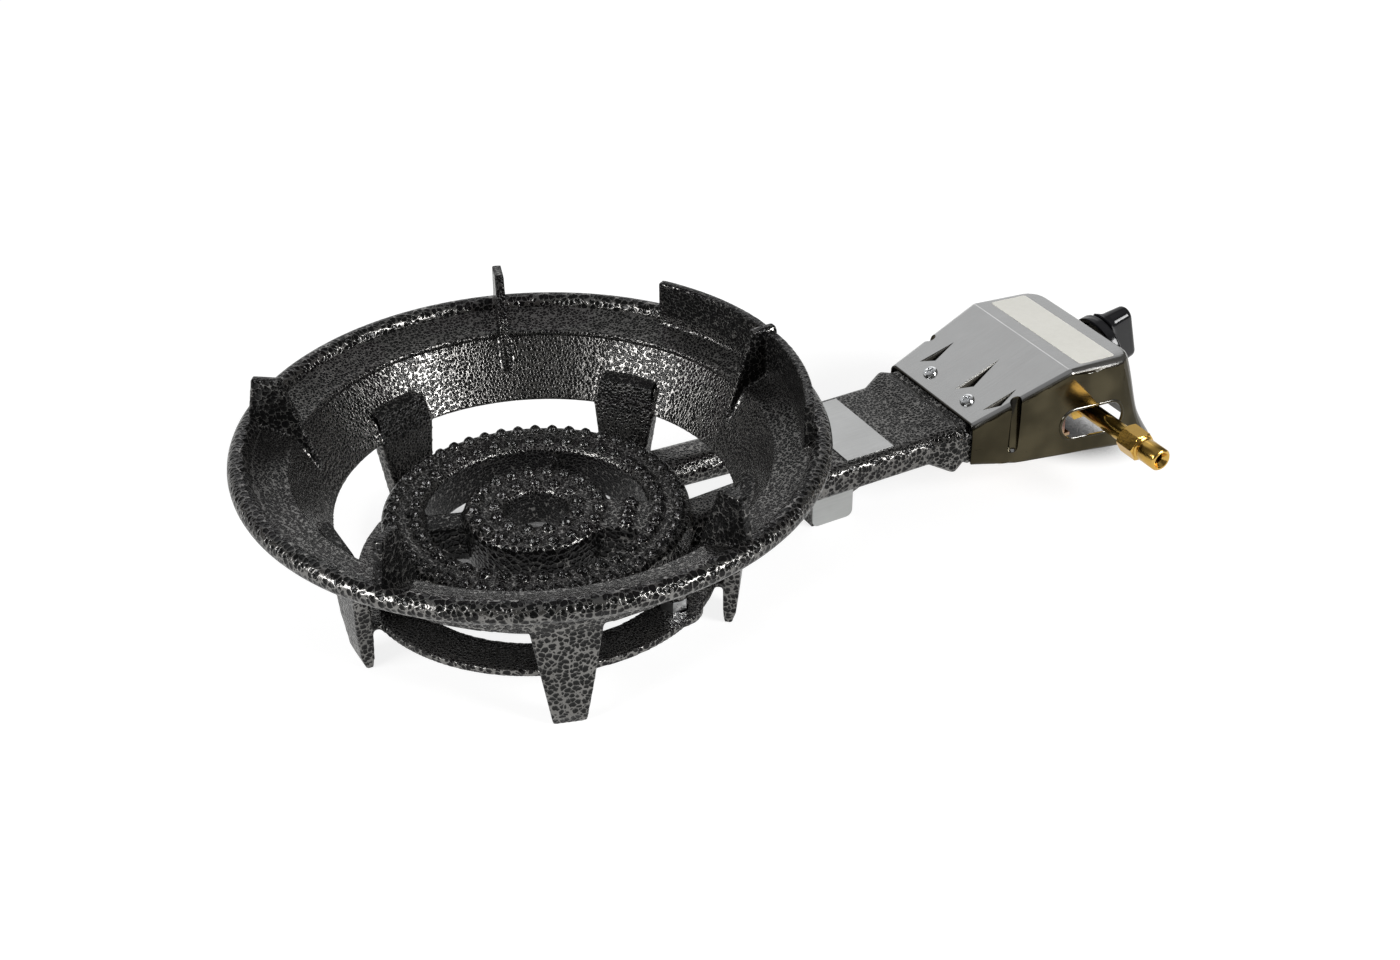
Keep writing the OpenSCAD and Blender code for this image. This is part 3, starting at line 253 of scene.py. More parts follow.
class Nodes:
    """Adds nodes to one tree and joins their sockets."""

    def __init__(self, tree):
        self.tree = tree

    def add(self, kind, given=None, **settings):
        """A node with its settings, and with its sockets fed by name or number."""
        node = self.tree.nodes.new(kind)
        for key, value in settings.items():
            setattr(node, key, value)
        for key, value in (given or {}).items():
            self.feed(node.inputs[key], value)
        return node

    def feed(self, socket, value):
        """Joins an output to a socket, or sets a plain value on it."""
        if isinstance(value, bpy.types.NodeSocket):
            self.tree.links.new(value, socket)
        elif isinstance(value, (tuple, list)) and len(value) == 3 and socket.type == "RGBA":
            socket.default_value = (*value, 1.0)
        else:
            socket.default_value = value

    def math(self, operation, first, *more):
        """One operation on a value, or on several from the left."""
        for second in more or (0.0,):
            first = self.add("ShaderNodeMath", {0: first, 1: second}, operation=operation).outputs[0]
        return first

    def times(self, *values):
        return self.math("MULTIPLY", *values)

    def plus(self, *values):
        return self.math("ADD", *values)

    def minus(self, first, second):
        return self.math("SUBTRACT", first, second)

    def swing(self, value, strength):
        """A noise value moved to swing about nought."""
        return self.times(self.minus(value, 0.5), strength)

    def vector(self, operation, first, second=None, scale=None):
        """A vector worked out from others."""
        given = {0: first, 1: second, "Scale": scale}
        given = {key: value for key, value in given.items() if value is not None}
        return self.add("ShaderNodeVectorMath", given, operation=operation).outputs["Vector"]

    def dot(self, first, second):
        return self.add("ShaderNodeVectorMath", {0: first, 1: second}, operation="DOT_PRODUCT").outputs["Value"]

    def reach(self, vector):
        """The length of a vector."""
        return self.math("SQRT", self.dot(vector, vector))

    def split(self, vector):
        """The three parts of a vector."""
        return self.add("ShaderNodeSeparateXYZ", {0: vector}).outputs

    def ramp(self, value, low, high, out_low=0.0, out_high=1.0):
        """A soft step of value from low to high."""
        given = dict(enumerate((value, low, high, out_low, out_high)))
        return self.add("ShaderNodeMapRange", given, interpolation_type="SMOOTHSTEP").outputs[0]

    def fall(self, value, low, high):
        """A soft step from one down to nought."""
        return self.ramp(value, low, high, 1.0, 0.0)

    def mix(self, factor, first, second, how="MIX"):
        """A colour between two others."""
        given = {0: factor, 6: first, 7: second}
        return self.add("ShaderNodeMix", given, data_type="RGBA", blend_type=how).outputs[2]

    def blend(self, factor, first, second):
        """A value between two others."""
        return self.add("ShaderNodeMix", {0: factor, 2: first, 3: second}, data_type="FLOAT").outputs[0]

    def noise(self, vector, scale, detail=2.0, rough=0.5, output="Fac"):
        given = {"Vector": vector, "Scale": scale, "Detail": detail, "Roughness": rough}
        return self.add("ShaderNodeTexNoise", given).outputs[output]

    def place(self):
        """The point on the piece, in metres."""
        return self.add("ShaderNodeTexCoord").outputs["Object"]

    def facing(self):
        """The way that the surface looks."""
        return self.add("ShaderNodeTexCoord").outputs["Normal"]

    def shared(self, name, build, given):
        """The outputs of a node group, which is built the first time that it is asked for."""
        tree = bpy.data.node_groups.get(name) or build(name)
        return self.add("ShaderNodeGroup", given, node_tree=tree).outputs


def shader_group(name, inputs, outputs):
    """An empty shader node group with named sockets, and its nodes."""
    tree = bpy.data.node_groups.new(name, "ShaderNodeTree")
    for label, kind, default in inputs:
        socket = tree.interface.new_socket(name=label, in_out="INPUT", socket_type="NodeSocket" + kind)
        socket.default_value = default
    for label, kind in outputs:
        tree.interface.new_socket(name=label, in_out="OUTPUT", socket_type="NodeSocket" + kind)
    nodes = Nodes(tree)
    return tree, nodes, nodes.add("NodeGroupInput").outputs, nodes.add("NodeGroupOutput").inputs


def paint_cells(nodes, point, vein):
    """Mask of the dark cells and height of the veins round them, for points in cell sizes."""
    bend = nodes.vector("SUBTRACT", nodes.noise(point, 0.8, output="Color"), (0.5, 0.5, 0.5))
    bent = nodes.vector("ADD", point, nodes.vector("SCALE", bend, scale=0.9))
    given = {"Vector": bent, "Scale": 1.0, "Randomness": 0.85}
    rims = nodes.add("ShaderNodeTexVoronoi", given, feature="DISTANCE_TO_EDGE").outputs["Distance"]
    hearts = nodes.add("ShaderNodeTexVoronoi", given, feature="F1").outputs["Distance"]
    frayed = nodes.swing(nodes.noise(point, 1.9, 3.0), 0.20)
    depth = nodes.plus(nodes.times(rims, 0.65), nodes.times(nodes.minus(0.58, hearts), 0.35), frayed)
    soft = 0.05
    cell = nodes.ramp(depth, nodes.minus(vein, soft), nodes.plus(vein, soft))
    return cell, nodes.fall(depth, -0.06, 0.30)


def reach_and_height(nodes):
    """Distance from the ring's axis, height above the ground, and the level part of the place."""
    flat = nodes.vector("MULTIPLY", nodes.place(), (1.0, 1.0, 0.0))
    return nodes.reach(flat), nodes.split(nodes.place())[2], flat


def hammered_group(name):
    """Paint that dries into dark cells between light metallic veins."""
    inputs = (
        ("Cell", "Float", 0.0029),
        ("Fine", "Float", 0.58),
        ("Vein", "Float", 0.056),
        ("Dark", "Color", (0.004, 0.004, 0.004, 1.0)),
        ("Light", "Color", (0.225, 0.220, 0.212, 1.0)),
    )
    outputs = (("Color", "Color"), ("Roughness", "Float"), ("Metallic", "Float"), ("Height", "Float"))
    tree, nodes, given, out = shader_group(name, inputs, outputs)
    facing = nodes.facing()
    reach, height, flat = reach_and_height(nodes)
    outward = nodes.dot(facing, nodes.vector("NORMALIZE", flat))
    level = nodes.minus(nodes.dot(facing, (0.0, 0.0, 1.0)), outward)
    rim = nodes.times(nodes.ramp(reach, 0.1372, 0.1384), nodes.ramp(height, 0.088, 0.091))
    fine = nodes.times(nodes.ramp(level, 0.45, 0.90), nodes.minus(1.0, rim))
    point = nodes.vector("SCALE", nodes.place(), scale=nodes.math("DIVIDE", 1.0, given["Cell"]))
    small = nodes.vector("SCALE", point, scale=nodes.math("DIVIDE", 1.0, given["Fine"]))
    large_cell, large_height = paint_cells(nodes, point, given["Vein"])
    small_cell, small_height = paint_cells(nodes, small, given["Vein"])
    cell = nodes.blend(fine, large_cell, small_cell)
    drift = nodes.ramp(nodes.noise(point, 0.12), 0.3, 0.7, 0.85, 1.10)
    vein = nodes.vector("SCALE", given["Light"], scale=drift)
    nodes.feed(out["Color"], nodes.mix(cell, vein, given["Dark"]))
    nodes.feed(out["Roughness"], nodes.ramp(cell, 0.0, 1.0, 0.27, 0.13))
    nodes.feed(out["Metallic"], nodes.fall(cell, 0.0, 1.0))
    nodes.feed(out["Height"], nodes.blend(fine, large_height, nodes.times(small_height, given["Fine"])))
    return tree


def grain_group(name):
    """Drawn or turned metal: fine lines, and smudges from handling."""
    inputs = (
        ("Stretch", "Vector", (60.0, 2500.0, 2500.0)),
        ("Roughness", "Float", 0.25),
        ("Lines", "Float", 0.10),
        ("Smudges", "Float", 0.12),
    )
    outputs = (("Tone", "Float"), ("Roughness", "Float"), ("Height", "Float"))
    tree, nodes, given, out = shader_group(name, inputs, outputs)
    point = nodes.place()
    lines = nodes.noise(nodes.vector("MULTIPLY", point, given["Stretch"]), 1.0, 3.0)
    line_part = nodes.swing(lines, given["Lines"])
    both = nodes.plus(line_part, nodes.swing(nodes.noise(point, 55.0, 4.0, 0.6), given["Smudges"]))
    rough = nodes.add("ShaderNodeMath", {0: given["Roughness"], 1: both}, operation="ADD", use_clamp=True)
    nodes.feed(out["Tone"], nodes.minus(1.0, nodes.plus(both, line_part)))
    nodes.feed(out["Roughness"], rough.outputs[0])
    nodes.feed(out["Height"], lines)
    return tree


def new_material(name):
    """A material with one Principled shader, and its nodes."""
    material = bpy.data.materials.new(name)
    material.use_nodes = True
    nodes = Nodes(material.node_tree)
    return material, nodes, material.node_tree.nodes["Principled BSDF"].inputs


def bump(nodes, height, shader, distance):
    """Joins a height to the shader's normal."""
    node = nodes.add("ShaderNodeBump", {"Height": height, "Distance": distance, "Strength": 1.0})
    nodes.feed(shader["Normal"], node.outputs[0])


def proud_shade_mask(nodes):
    """What stands proud of the bowl: the fins, the shield and the leg pads, where narrower veins give the paint a
    painted shade.
    """
    reach, height, flat = reach_and_height(nodes)
    inward = nodes.times(nodes.minus(BOWL_POINT[0] * MM, reach), BOWL_OUT[0])
    above = nodes.times(nodes.minus(height, BOWL_POINT[1] * MM), BOWL_OUT[1])
    pad = nodes.times(nodes.ramp(nodes.plus(inward, above), 0.0008, 0.0018), nodes.fall(height, 0.083, 0.086))
    around = nodes.vector("NORMALIZE", nodes.vector("CROSS_PRODUCT", (0.0, 0.0, 1.0), flat))
    side = nodes.math("ABSOLUTE", nodes.dot(nodes.facing(), around))
    fin = nodes.times(nodes.ramp(side, 0.6, 0.85), nodes.ramp(height, 0.070, 0.080))
    shield = nodes.ramp(height, 0.1045, 0.1075)
    return nodes.math("MAXIMUM", fin, shield, pad)


def hollow_shade_mask(nodes):
    """The walls of the gap and the eye in the burner head, where narrower veins keep the paint dark: painted shade.
    """
    reach, height, _ = reach_and_height(nodes)
    return nodes.times(nodes.fall(height, 0.0568, 0.0582), nodes.fall(reach, 0.0765, 0.0775))


def dent_shade_mask(nodes):
    """What lies below the plane of the cover's sloping front: its dents, where a painted shade goes."""
    (x0, z0, _), (x1, z1, _) = COVER_CORNERS[SLOPE], COVER_CORNERS[SLOPE + 1]
    ahead, across, height = nodes.split(nodes.place())
    rise = nodes.times(nodes.minus(ahead, x0 * MM), (z1 - z0) / (x1 - x0))
    below = nodes.minus(nodes.plus(rise, z0 * MM), height)
    inside = nodes.fall(nodes.math("ABSOLUTE", across), 0.0390, 0.0400)
    return nodes.times(nodes.ramp(below, 0.0004, 0.0010), inside, nodes.fall(ahead, 0.298, 0.300))


def paint_material(name, paint, cell_share=1.0, vein=None, painted_shade=None, gloss=0.22):
    """Hammered black and grey enamel; where a mask says so its veins are narrowed, a painted shade that darkens it.
    """
    material, nodes, shader = new_material(name)
    wide = paint.vein if vein is None else vein
    given = {
        "Cell": paint.cell * cell_share,
        "Fine": paint.fine,
        "Vein": nodes.ramp(painted_shade(nodes), 0.0, 1.0, wide, wide - paint.painted_shade) if painted_shade else wide,
        "Dark": tuple(paint.dark),
        "Light": tuple(paint.light),
    }
    coat = nodes.shared("Hammered paint", hammered_group, given)
    nodes.feed(shader["Base Color"], coat["Color"])
    nodes.feed(shader["Roughness"], coat["Roughness"])
    nodes.feed(shader["Metallic"], coat["Metallic"])
    nodes.feed(shader["Specular IOR Level"], gloss)
    bump(nodes, coat["Height"], shader, paint.relief * cell_share)
    return material


def metal_grain(nodes, roughness, lines, smudges, stretch):
    """The shared grain, set for one metal."""
    given = {"Stretch": stretch, "Roughness": roughness, "Lines": lines, "Smudges": smudges}
    return nodes.shared("Metal grain", grain_group, given)


def metal_coat(nodes, shader, colour, tone, roughness):
    """Bare metal in a colour that its grain tones down."""
    nodes.feed(shader["Base Color"], nodes.mix(1.0, colour, tone, "MULTIPLY"))
    nodes.feed(shader["Roughness"], roughness)
    nodes.feed(shader["Metallic"], 1.0)


def metal_material(name, colour=None):
    """A bare or plated metal from the list, in a colour of its own where one is given."""
    listed, roughness, lines, smudges, stretch, relief, second = METALS[name]
    colour = colour or listed
    material, nodes, shader = new_material(name)
    grain = metal_grain(nodes, roughness, lines, smudges, stretch)
    if second:
        colour = nodes.mix(nodes.ramp(nodes.noise(nodes.place(), 70.0, 3.0), 0.38, 0.62), colour, second)
    metal_coat(nodes, shader, colour, grain["Tone"], grain["Roughness"])
    bump(nodes, grain["Height"], shader, relief)
    return material


def sheet_material(cover):
    """Bright pressed sheet; its upright faces carry a painted reflection of dark surroundings, and its dents a
    painted shade.
    """
    material, nodes, shader = new_material("Bright sheet")
    grain = metal_grain(nodes, 0.19, 0.05, 0.10, (25.0, 900.0, 200.0))
    # Upright faces take the side colour, a painted reflection of dark surroundings; the noise only varies its tone.
    cloud = nodes.swing(nodes.noise(nodes.place(), 26.0, 3.0), 0.35)
    level = nodes.math("ABSOLUTE", nodes.split(nodes.facing())[2])
    upright = nodes.fall(nodes.plus(level, cloud), 0.40, 0.86)
    warm = nodes.ramp(nodes.noise(nodes.place(), 34.0), 0.42, 0.72)
    side_reflection_tone = nodes.mix(warm, tuple(cover.side_reflection), tuple(1.9 * c for c in cover.side_reflection))
    dent_shade = dent_shade_mask(nodes)
    # Dents painted near black: painted shade; they are also made rougher.
    colour = nodes.mix(dent_shade, nodes.mix(upright, tuple(cover.bright), side_reflection_tone), (0.030, 0.028, 0.024))
    metal_coat(nodes, shader, colour, grain["Tone"], nodes.blend(dent_shade, grain["Roughness"], 0.45))
    bump(nodes, nodes.noise(nodes.place(), 45.0), shader, 0.00012)
    return material


def moulding_material(colour):
    """Glossy black moulding with a faint orange peel."""
    material, nodes, shader = new_material("Black moulding")
    smudge = nodes.noise(nodes.place(), 90.0, 4.0)
    nodes.feed(shader["Base Color"], nodes.mix(smudge, tuple(colour), tuple(1.8 * c for c in colour)))
    nodes.feed(shader["Roughness"], nodes.ramp(smudge, 0.3, 0.75, 0.10, 0.17))
    nodes.feed(shader["Specular IOR Level"], 0.40)
    bump(nodes, nodes.noise(nodes.place(), 700.0), shader, 0.00001)
    return material


def paper_material():
    """Off-white label, slightly mottled."""
    material, nodes, shader = new_material("Blank label")
    mottle = nodes.noise(nodes.place(), 240.0, 5.0, 0.65)
    light = nodes.mix(nodes.noise(nodes.place(), 40.0), (0.86, 0.85, 0.79), (0.80, 0.79, 0.73))
    nodes.feed(shader["Base Color"], nodes.mix(nodes.ramp(mottle, 0.35, 0.75, 0.0, 0.25), light, (0.70, 0.69, 0.63)))
    nodes.feed(shader["Roughness"], nodes.ramp(mottle, 0.3, 0.7, 0.32, 0.46))
    bump(nodes, mottle, shader, 0.00003)
    return material


# Objects and meshes


def new_object(name, data):
    """An object that is put in the scene."""
    item = bpy.data.objects.new(name, data)
    bpy.context.scene.collection.objects.link(item)
    return item


def drop(*pieces):
    """Deletes scratch objects and their meshes."""
    for piece in pieces:
        mesh = piece.data
        bpy.data.objects.remove(piece)
        bpy.data.meshes.remove(mesh)


def modifier(piece, name, kind, **settings):
    """Adds a modifier with its settings."""
    item = piece.modifiers.new(name, kind)
    for key, value in settings.items():
        setattr(item, key, value)


def shaped(piece):
    """The mesh of a scratch object with its modifiers worked in; the scratch object goes."""
    depsgraph = bpy.context.evaluated_depsgraph_get()
    mesh = bpy.data.meshes.new_from_object(piece.evaluated_get(depsgraph))
    drop(piece)
    return mesh


def place_mesh(name, bm, crease=35.0):
    """Turns a bmesh into a smooth-shaded mesh with its edges sharp above an angle in degrees."""
    bmesh.ops.recalc_face_normals(bm, faces=bm.faces)
    mesh = bpy.data.meshes.new(name)
    bm.to_mesh(mesh)
    bm.free()
    mesh.shade_smooth()
    mesh.set_sharp_from_angle(angle=math.radians(crease))
    return mesh


def rework(mesh, change):
    """Opens a mesh for a change and writes it back."""
    bm = bmesh.new()
    bm.from_mesh(mesh)
    change(bm)
    bm.to_mesh(mesh)
    bm.free()


def lay_in(bm, mesh):
    """Adds loose smooth-shaded shapes to a finished mesh."""
    bmesh.ops.recalc_face_normals(bm, faces=bm.faces)
    for face in bm.faces:
        face.smooth = True
    bm.from_mesh(mesh)
    bm.to_mesh(mesh)
    bm.free()


def add_piece(name, mesh, material, body, slot, *nodes):
    """Puts a finished mesh in the scene, riding on a body and standing for CAD nodes."""
    piece = new_object(name, mesh)
    if not mesh.materials:
        mesh.materials.append(material)
    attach(piece, body)
    if nodes:
        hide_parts(*nodes)
    return piece


def dress(material, *nodes):
    """Gives CAD nodes that stay a material."""
    for name in nodes:
        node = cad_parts[name]
        if not node.material_slots:
            node.data.materials.append(material)
        for slot in node.material_slots:
            slot.material = material


# Forms


def clamp(value):
    """A number held between nought and one."""
    return min(max(value, 0.0), 1.0)


def spot(place, point):
    """A point in mm, put in place by a matrix."""
    return place @ (Vector(point) * MM)


def circle(r, count):
    """Points round a circle."""
    angles = (2.0 * math.pi * i / count for i in range(count))
    return [(r * math.cos(a), r * math.sin(a)) for a in angles]


def pill_ring(long, wide, count):
    """Points round a bar with full round ends, long along X, in mm."""
    half = (long - wide) / 2.0
    ring = []
    for i in range(count):
        a = 2.0 * math.pi * (i + 0.5) / count
        ring.append((math.copysign(half, math.cos(a)) + math.cos(a) * wide / 2.0, math.sin(a) * wide / 2.0))
    return ring


def loft(bm, rings, start=True, hoop=False):
    """Skins closed rings of points one after the other and caps the ends; a hoop runs on to its first ring."""
    rows = [[bm.verts.new(point) for point in ring] for ring in rings]
    if hoop:
        rows.append(rows[0])
    count = len(rows[0])
    for low, high in zip(rows, rows[1:]):
        for i in range(count):
            j = (i + 1) % count
            bm.faces.new((low[i], low[j], high[j], high[i]))
    if start and not hoop:
        bm.faces.new(rows[0][::-1])
    if not hoop:
        bm.faces.new(rows[-1])


def turned_rings(profile, steps, place):
    """Rings of a turned piece from radius and height pairs in mm, put in place by a matrix."""
    return [[spot(place, (x, y, h)) for x, y in circle(r, steps)] for r, h in profile]


def frame_matrix(origin, x_axis, z_axis):
    """A frame from its origin in mm and two of its axes."""
    z = Vector(z_axis).normalized()
    x = Vector(x_axis).normalized()
    turn = Matrix((x, z.cross(x), z)).transposed().to_4x4()
    return Matrix.Translation(Vector(origin) * MM) @ turn


def face_frame(corner):
    """On the cover's flat that starts at a corner, with X along it towards the knob and Z out of the sheet."""
    (x0, z0, _), (x1, z1, _) = COVER_CORNERS[corner], COVER_CORNERS[corner + 1]
    run = Vector((x1 - x0, 0.0, z1 - z0)).normalized()
    return frame_matrix((x0, 0.0, z0), run, (-run.z, 0.0, run.x))


def spindle_frame(along):
    """On the spindle, a distance in mm from the middle of the valve, with Z out to the knob."""
    return frame_matrix(Vector(VALVE_MIDDLE) + along * SPINDLE, (SPINDLE.z, 0.0, -SPINDLE.x), SPINDLE)


def slot_frame():
    """On the pipe slot in the near side, with X along it and Z out of the sheet."""
    return frame_matrix(SLOT_MIDDLE, (math.cos(SLOT_TILT), 0.0, math.sin(SLOT_TILT)), (0.0, -1.0, 0.0))


def soft_casting(name, node, casting):
    """A casting's solid with its edges rounded as the mould and thick paint leave them."""
    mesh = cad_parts[node].data.copy()
    rework(mesh, lambda bm: bmesh.ops.remove_doubles(bm, verts=bm.verts, dist=1e-6))
    mesh.materials.clear()
    piece = new_object(name, mesh)
    modifier(piece, "Grain", "REMESH", mode="VOXEL", voxel_size=casting.voxel)
    modifier(piece, "Rounding", "SMOOTH", factor=0.5, iterations=casting.rounds)
    result = shaped(piece)
    rework(result, keep_outer_shell)
    light = new_object(name, result)
    modifier(light, "Lighter", "DECIMATE", ratio=0.35)
    result = shaped(light)
    result.name = name
    result.shade_smooth()
    return result


def keep_outer_shell(bm):
    """Deletes the loose shells inside the largest one."""
    left = set(bm.verts)
    shells = []
    while left:
        todo = [left.pop()]
        shell = list(todo)
        while todo:
            for edge in todo.pop().link_edges:
                for vert in edge.verts:
                    if vert in left:
                        left.remove(vert)
                        shell.append(vert)
                        todo.append(vert)
        shells.append(shell)
    shells.sort(key=len)
    for shell in shells[:-1]:
        bmesh.ops.delete(bm, geom=shell, context="VERTS")


def add_step(mesh):
    """Crisp upright step between the bowl's two bands, and the lip's round bead, laid into the stand's mesh."""
    bead_reach, bead_height, bead_r = LIP_BEAD
    bead = [(bead_reach + x, bead_height + z) for x, z in circle(bead_r, 24)]
    bm = bmesh.new()
    for outline in (STEP_PROFILE, bead):
        loft(bm, turned_rings(outline, 288, Matrix()), hoop=True)
    lay_in(bm, mesh)


def add_pads(mesh):
    """Upright inner face of each leg, run up until it meets the bowl's cone; the old soft tops are drawn back."""
    inward, up = BOWL_OUT
    for vert in mesh.vertices:
        r, z = math.hypot(vert.co.x, vert.co.y) / MM, vert.co.z / MM
        proud = inward * (BOWL_POINT[0] - r) + up * (z - BOWL_POINT[1])
        turn = math.degrees(math.atan2(vert.co.y, vert.co.x)) % LEG_PITCH - FIRST_LEG
        if 76.5 < z < 84.0 and 0.25 < proud < 4.0 and abs(turn) < 10.5:
            vert.co.x *= 1.0 + inward * proud / r
            vert.co.y *= 1.0 + inward * proud / r
            vert.co.z -= up * proud * MM
    bm = bmesh.new()
    for k in range(LEG_COUNT):
        place = Matrix.Rotation(math.radians(FIRST_LEG + LEG_PITCH * k), 4, "Z")
        loft(bm, [[spot(place, (r, side * half, z)) for r, z, half in PAD_PROFILE] for side in (-1.0, 1.0)])
    lay_in(bm, mesh)
    mesh.set_sharp_from_angle(angle=math.radians(50.0))


def port_places():
    """Where each port stands on the burner head, in mm."""
    places = []
    for count, radius, phase in PORT_ROWS:
        for k in range(count):
            a = math.radians(k * 360.0 / count + phase)
            places.append((radius * math.cos(a), radius * math.sin(a)))
    radius, turn, step = BRIDGE_PORTS
    c, s = math.cos(math.radians(turn)), math.sin(math.radians(turn))
    for side in (-1, 0, 1):
        places.append((radius * c - side * step * s, radius * s + side * step * c))
    return places


def port_mesh(casting):
    """All the domed ports: a cast dome round each drilled hole, none quite upright."""
    dome, port = casting.dome_r / MM, casting.port_r / MM
    profile = [(dome + 0.7, -1.2), (dome + 0.35, -0.3), (dome + 0.05, 0.35)]
    for a in map(math.radians, (8, 20, 32, 44, 56, 66, 74)):
        profile.append((dome * math.cos(a), 0.5 + dome * math.sin(a)))
    top = profile[-1][1]
    profile += [(port + 0.15, top + 0.12), (port - 0.1, top - 0.2), (port - 0.15, top - 2.2)]
    noise.seed_set(PORT_SEED)
    bm = bmesh.new()
    for x, y in port_places():
        lean = noise.noise_vector(Vector((x, y, 7.0)) * 0.37)
        place = Matrix.Translation(Vector((x, y, HEAD_Z + 0.15 * lean.z)) * MM)
        place = place @ Matrix.Rotation(0.06 * lean.x, 4, "X") @ Matrix.Rotation(0.06 * lean.y, 4, "Y")
        loft(bm, turned_rings(profile, 18, place), start=False)
    return place_mesh("burner_ports", bm, 50.0)


def cover_outline():
    """The cover's corners, run on past its open front and underside so that they can be cut clean."""
    front_low, front_top, crest, back, tail, sag = (Vector(corner) for corner in COVER_CORNERS)
    ahead = front_top + 0.2 * (front_top - crest)
    below = front_low + 0.45 * (front_low - sag) + Vector((0.0, -9.0, 0.0))
    lower_tail = tail + 0.16 * (tail - back)
    lower_sag = sag + Vector((0.0, -9.0, 0.5))
    return below, ahead, crest, back, lower_tail, lower_sag


def edge_centres(corners, r):
    """Centres of the edge radius inside each corner of an outline that runs clockwise."""
    centres = []
    for i, corner in enumerate(corners):
        before, after = corners[i - 1], corners[(i + 1) % len(corners)]
        u = Vector((corner.x - before.x, corner.y - before.y)).normalized()
        v = Vector((after.x - corner.x, after.y - corner.y)).normalized()
        n, m = Vector((u.y, -u.x)), Vector((v.y, -v.x))
        centre = Vector((corner.x, corner.y)) + (n + m) * r / (1.0 + n.dot(m))
        centres.append((centre.x, centre.y, corner.z - r))
    return centres


def add_ball(bm, centre, r):
    """Points of a ball, in mm."""
    for i in range(1, 16):
        up = math.pi * (i / 16.0 - 0.5)
        for x, y in circle(math.cos(up), 32):
            bm.verts.new((centre + r * Vector((x, y, math.sin(up)))) * MM)


def bisect(bm, point, normal, clear_outer=False):
    """Cuts every face along a plane; what lies beyond it goes if that is asked for."""
    everything = bm.verts[:] + bm.edges[:] + bm.faces[:]
    bmesh.ops.bisect_plane(bm, geom=everything, plane_co=point, plane_no=normal, clear_outer=clear_outer)


def cover_skin(cover):
    """The cover's outer skin as a closed solid with round edges."""
    r = cover.edge / MM
    bm = bmesh.new()
    for number, (x, z, half) in enumerate(edge_centres(cover_outline(), r)):
        swing, turns = 0.0, (0,)
        if number in BACK_CORNERS:
            swing, turns = (cover.back_edge - cover.edge) / MM, range(0, 91, 15)
        for side, turn in ((side, math.radians(turn)) for side in (-1, 1) for turn in turns):
            across = side * (half - swing * (1.0 - math.sin(turn)))
            add_ball(bm, Vector((x - swing * (1.0 - math.cos(turn)), across, z)), r)
    hull = bmesh.ops.convex_hull(bm, input=bm.verts[:])
    spare = {item for key in ("geom_interior", "geom_unused") for item in hull[key]}
    bmesh.ops.delete(bm, geom=[item for item in spare if isinstance(item, bmesh.types.BMVert)], context="VERTS")
    bmesh.ops.dissolve_limit(bm, angle_limit=math.radians(0.4), verts=bm.verts[:], edges=bm.edges[:])
    # A grid of cuts, 4 mm apart along the tubes and up, that lets the sides bend
    for axis, places in ((0, range(240, 372, 4)), (2, range(14, 76, 4))):
        for at in places:
            point, normal = Vector(), Vector()
            point[axis], normal[axis] = at * MM, 1.0
            bisect(bm, point, normal)
    bm.normal_update()
    sides = [v for v in bm.verts if abs(v.normal.y) > 0.93]
    for _ in range(14):
        bmesh.ops.smooth_vert(bm, verts=sides, factor=0.5, use_axis_y=True)
    # The sweep of the back, most at mid height
    for vert in bm.verts:
        behind = clamp((vert.co.x / MM - 330.0) / 32.0)
        fall = clamp((71.5 - vert.co.z / MM) / 54.0)
        sweep = behind * behind * math.sin(math.pi * fall**1.4)
        vert.co.x -= cover.flare * sweep
        vert.co.y *= 1.0 - 0.03 * sweep
    return bm


def dent_cutters(cover):
    """Three-sided dents, deepest a little above their wide lower end."""
    place = face_frame(SLOPE)
    depth, wall = cover.dent_depth / MM, cover.dent_wall / MM
    bm = bmesh.new()
    for corners in COVER_DENTS:
        far, near, tip = (Vector((*corner, 0.0)) for corner in corners)
        part = (near.x + 1.0 - far.x) / (tip.x - far.x)
        apex = far.lerp(tip, part) + Vector((0.0, -wall, -depth))
        grown = [corner + (corner - apex) * 0.5 for corner in (far, near, tip)]
        verts = [bm.verts.new(spot(place, v)) for v in (*grown, apex)]
        for a, b, c in ((0, 1, 2), (0, 3, 1), (1, 3, 2), (2, 3, 0)):
            bm.faces.new((verts[a], verts[b], verts[c]))
    return place_mesh("dent_cutters", bm)


def strike(skin, start, way):
    """Where a line from a point meets the cover's skin."""
    hit = skin.ray_cast(start, way)[0]
    if hit is None:
        raise RuntimeError("a groove or the slot lies off the cover")
    return hit


def groove_cutter(cover, skin, side):
    """A bar with a round end, laid along one side of the cover, that presses an upright groove into it."""
    r, depth = cover.groove_r / MM, cover.groove_depth / MM
    ends = []
    for x, z, deeper in GROOVE_ENDS:
        hit = strike(skin, Vector((x, 0.0, z)) * MM, Vector((0.0, side, 0.0)))
        ends.append(hit / MM + Vector((0.0, side * (r - depth - deeper), 0.0)))
    along = (ends[1] - ends[0]).normalized()
    place = frame_matrix(ends[0], along.cross((0.0, 1.0, 0.0)), along)
    profile = [(0.05 * r, -r), (0.5 * r, -0.87 * r), (0.87 * r, -0.5 * r), (r, 0.0), (r, 34.0)]
    bm = bmesh.new()
    loft(bm, turned_rings(profile, 48, place))
    return place_mesh("groove_cutter", bm)


def bar_cutter(name, place, ring, low, high):
    """A straight cutter with an outline in its X and Y, in mm."""
    bm = bmesh.new()
    loft(bm, [[spot(place, (x, y, h)) for x, y in ring] for h in (low, high)])
    return place_mesh(name, bm)


def cut(piece, name, mesh):
    """Takes a cutter's shape out of a scratch object; returns the cutter for deleting."""
    cutter = new_object(name, mesh)
    cutter.hide_render = True
    modifier(piece, name, "BOOLEAN", operation="DIFFERENCE", solver="EXACT", object=cutter)
    return cutter


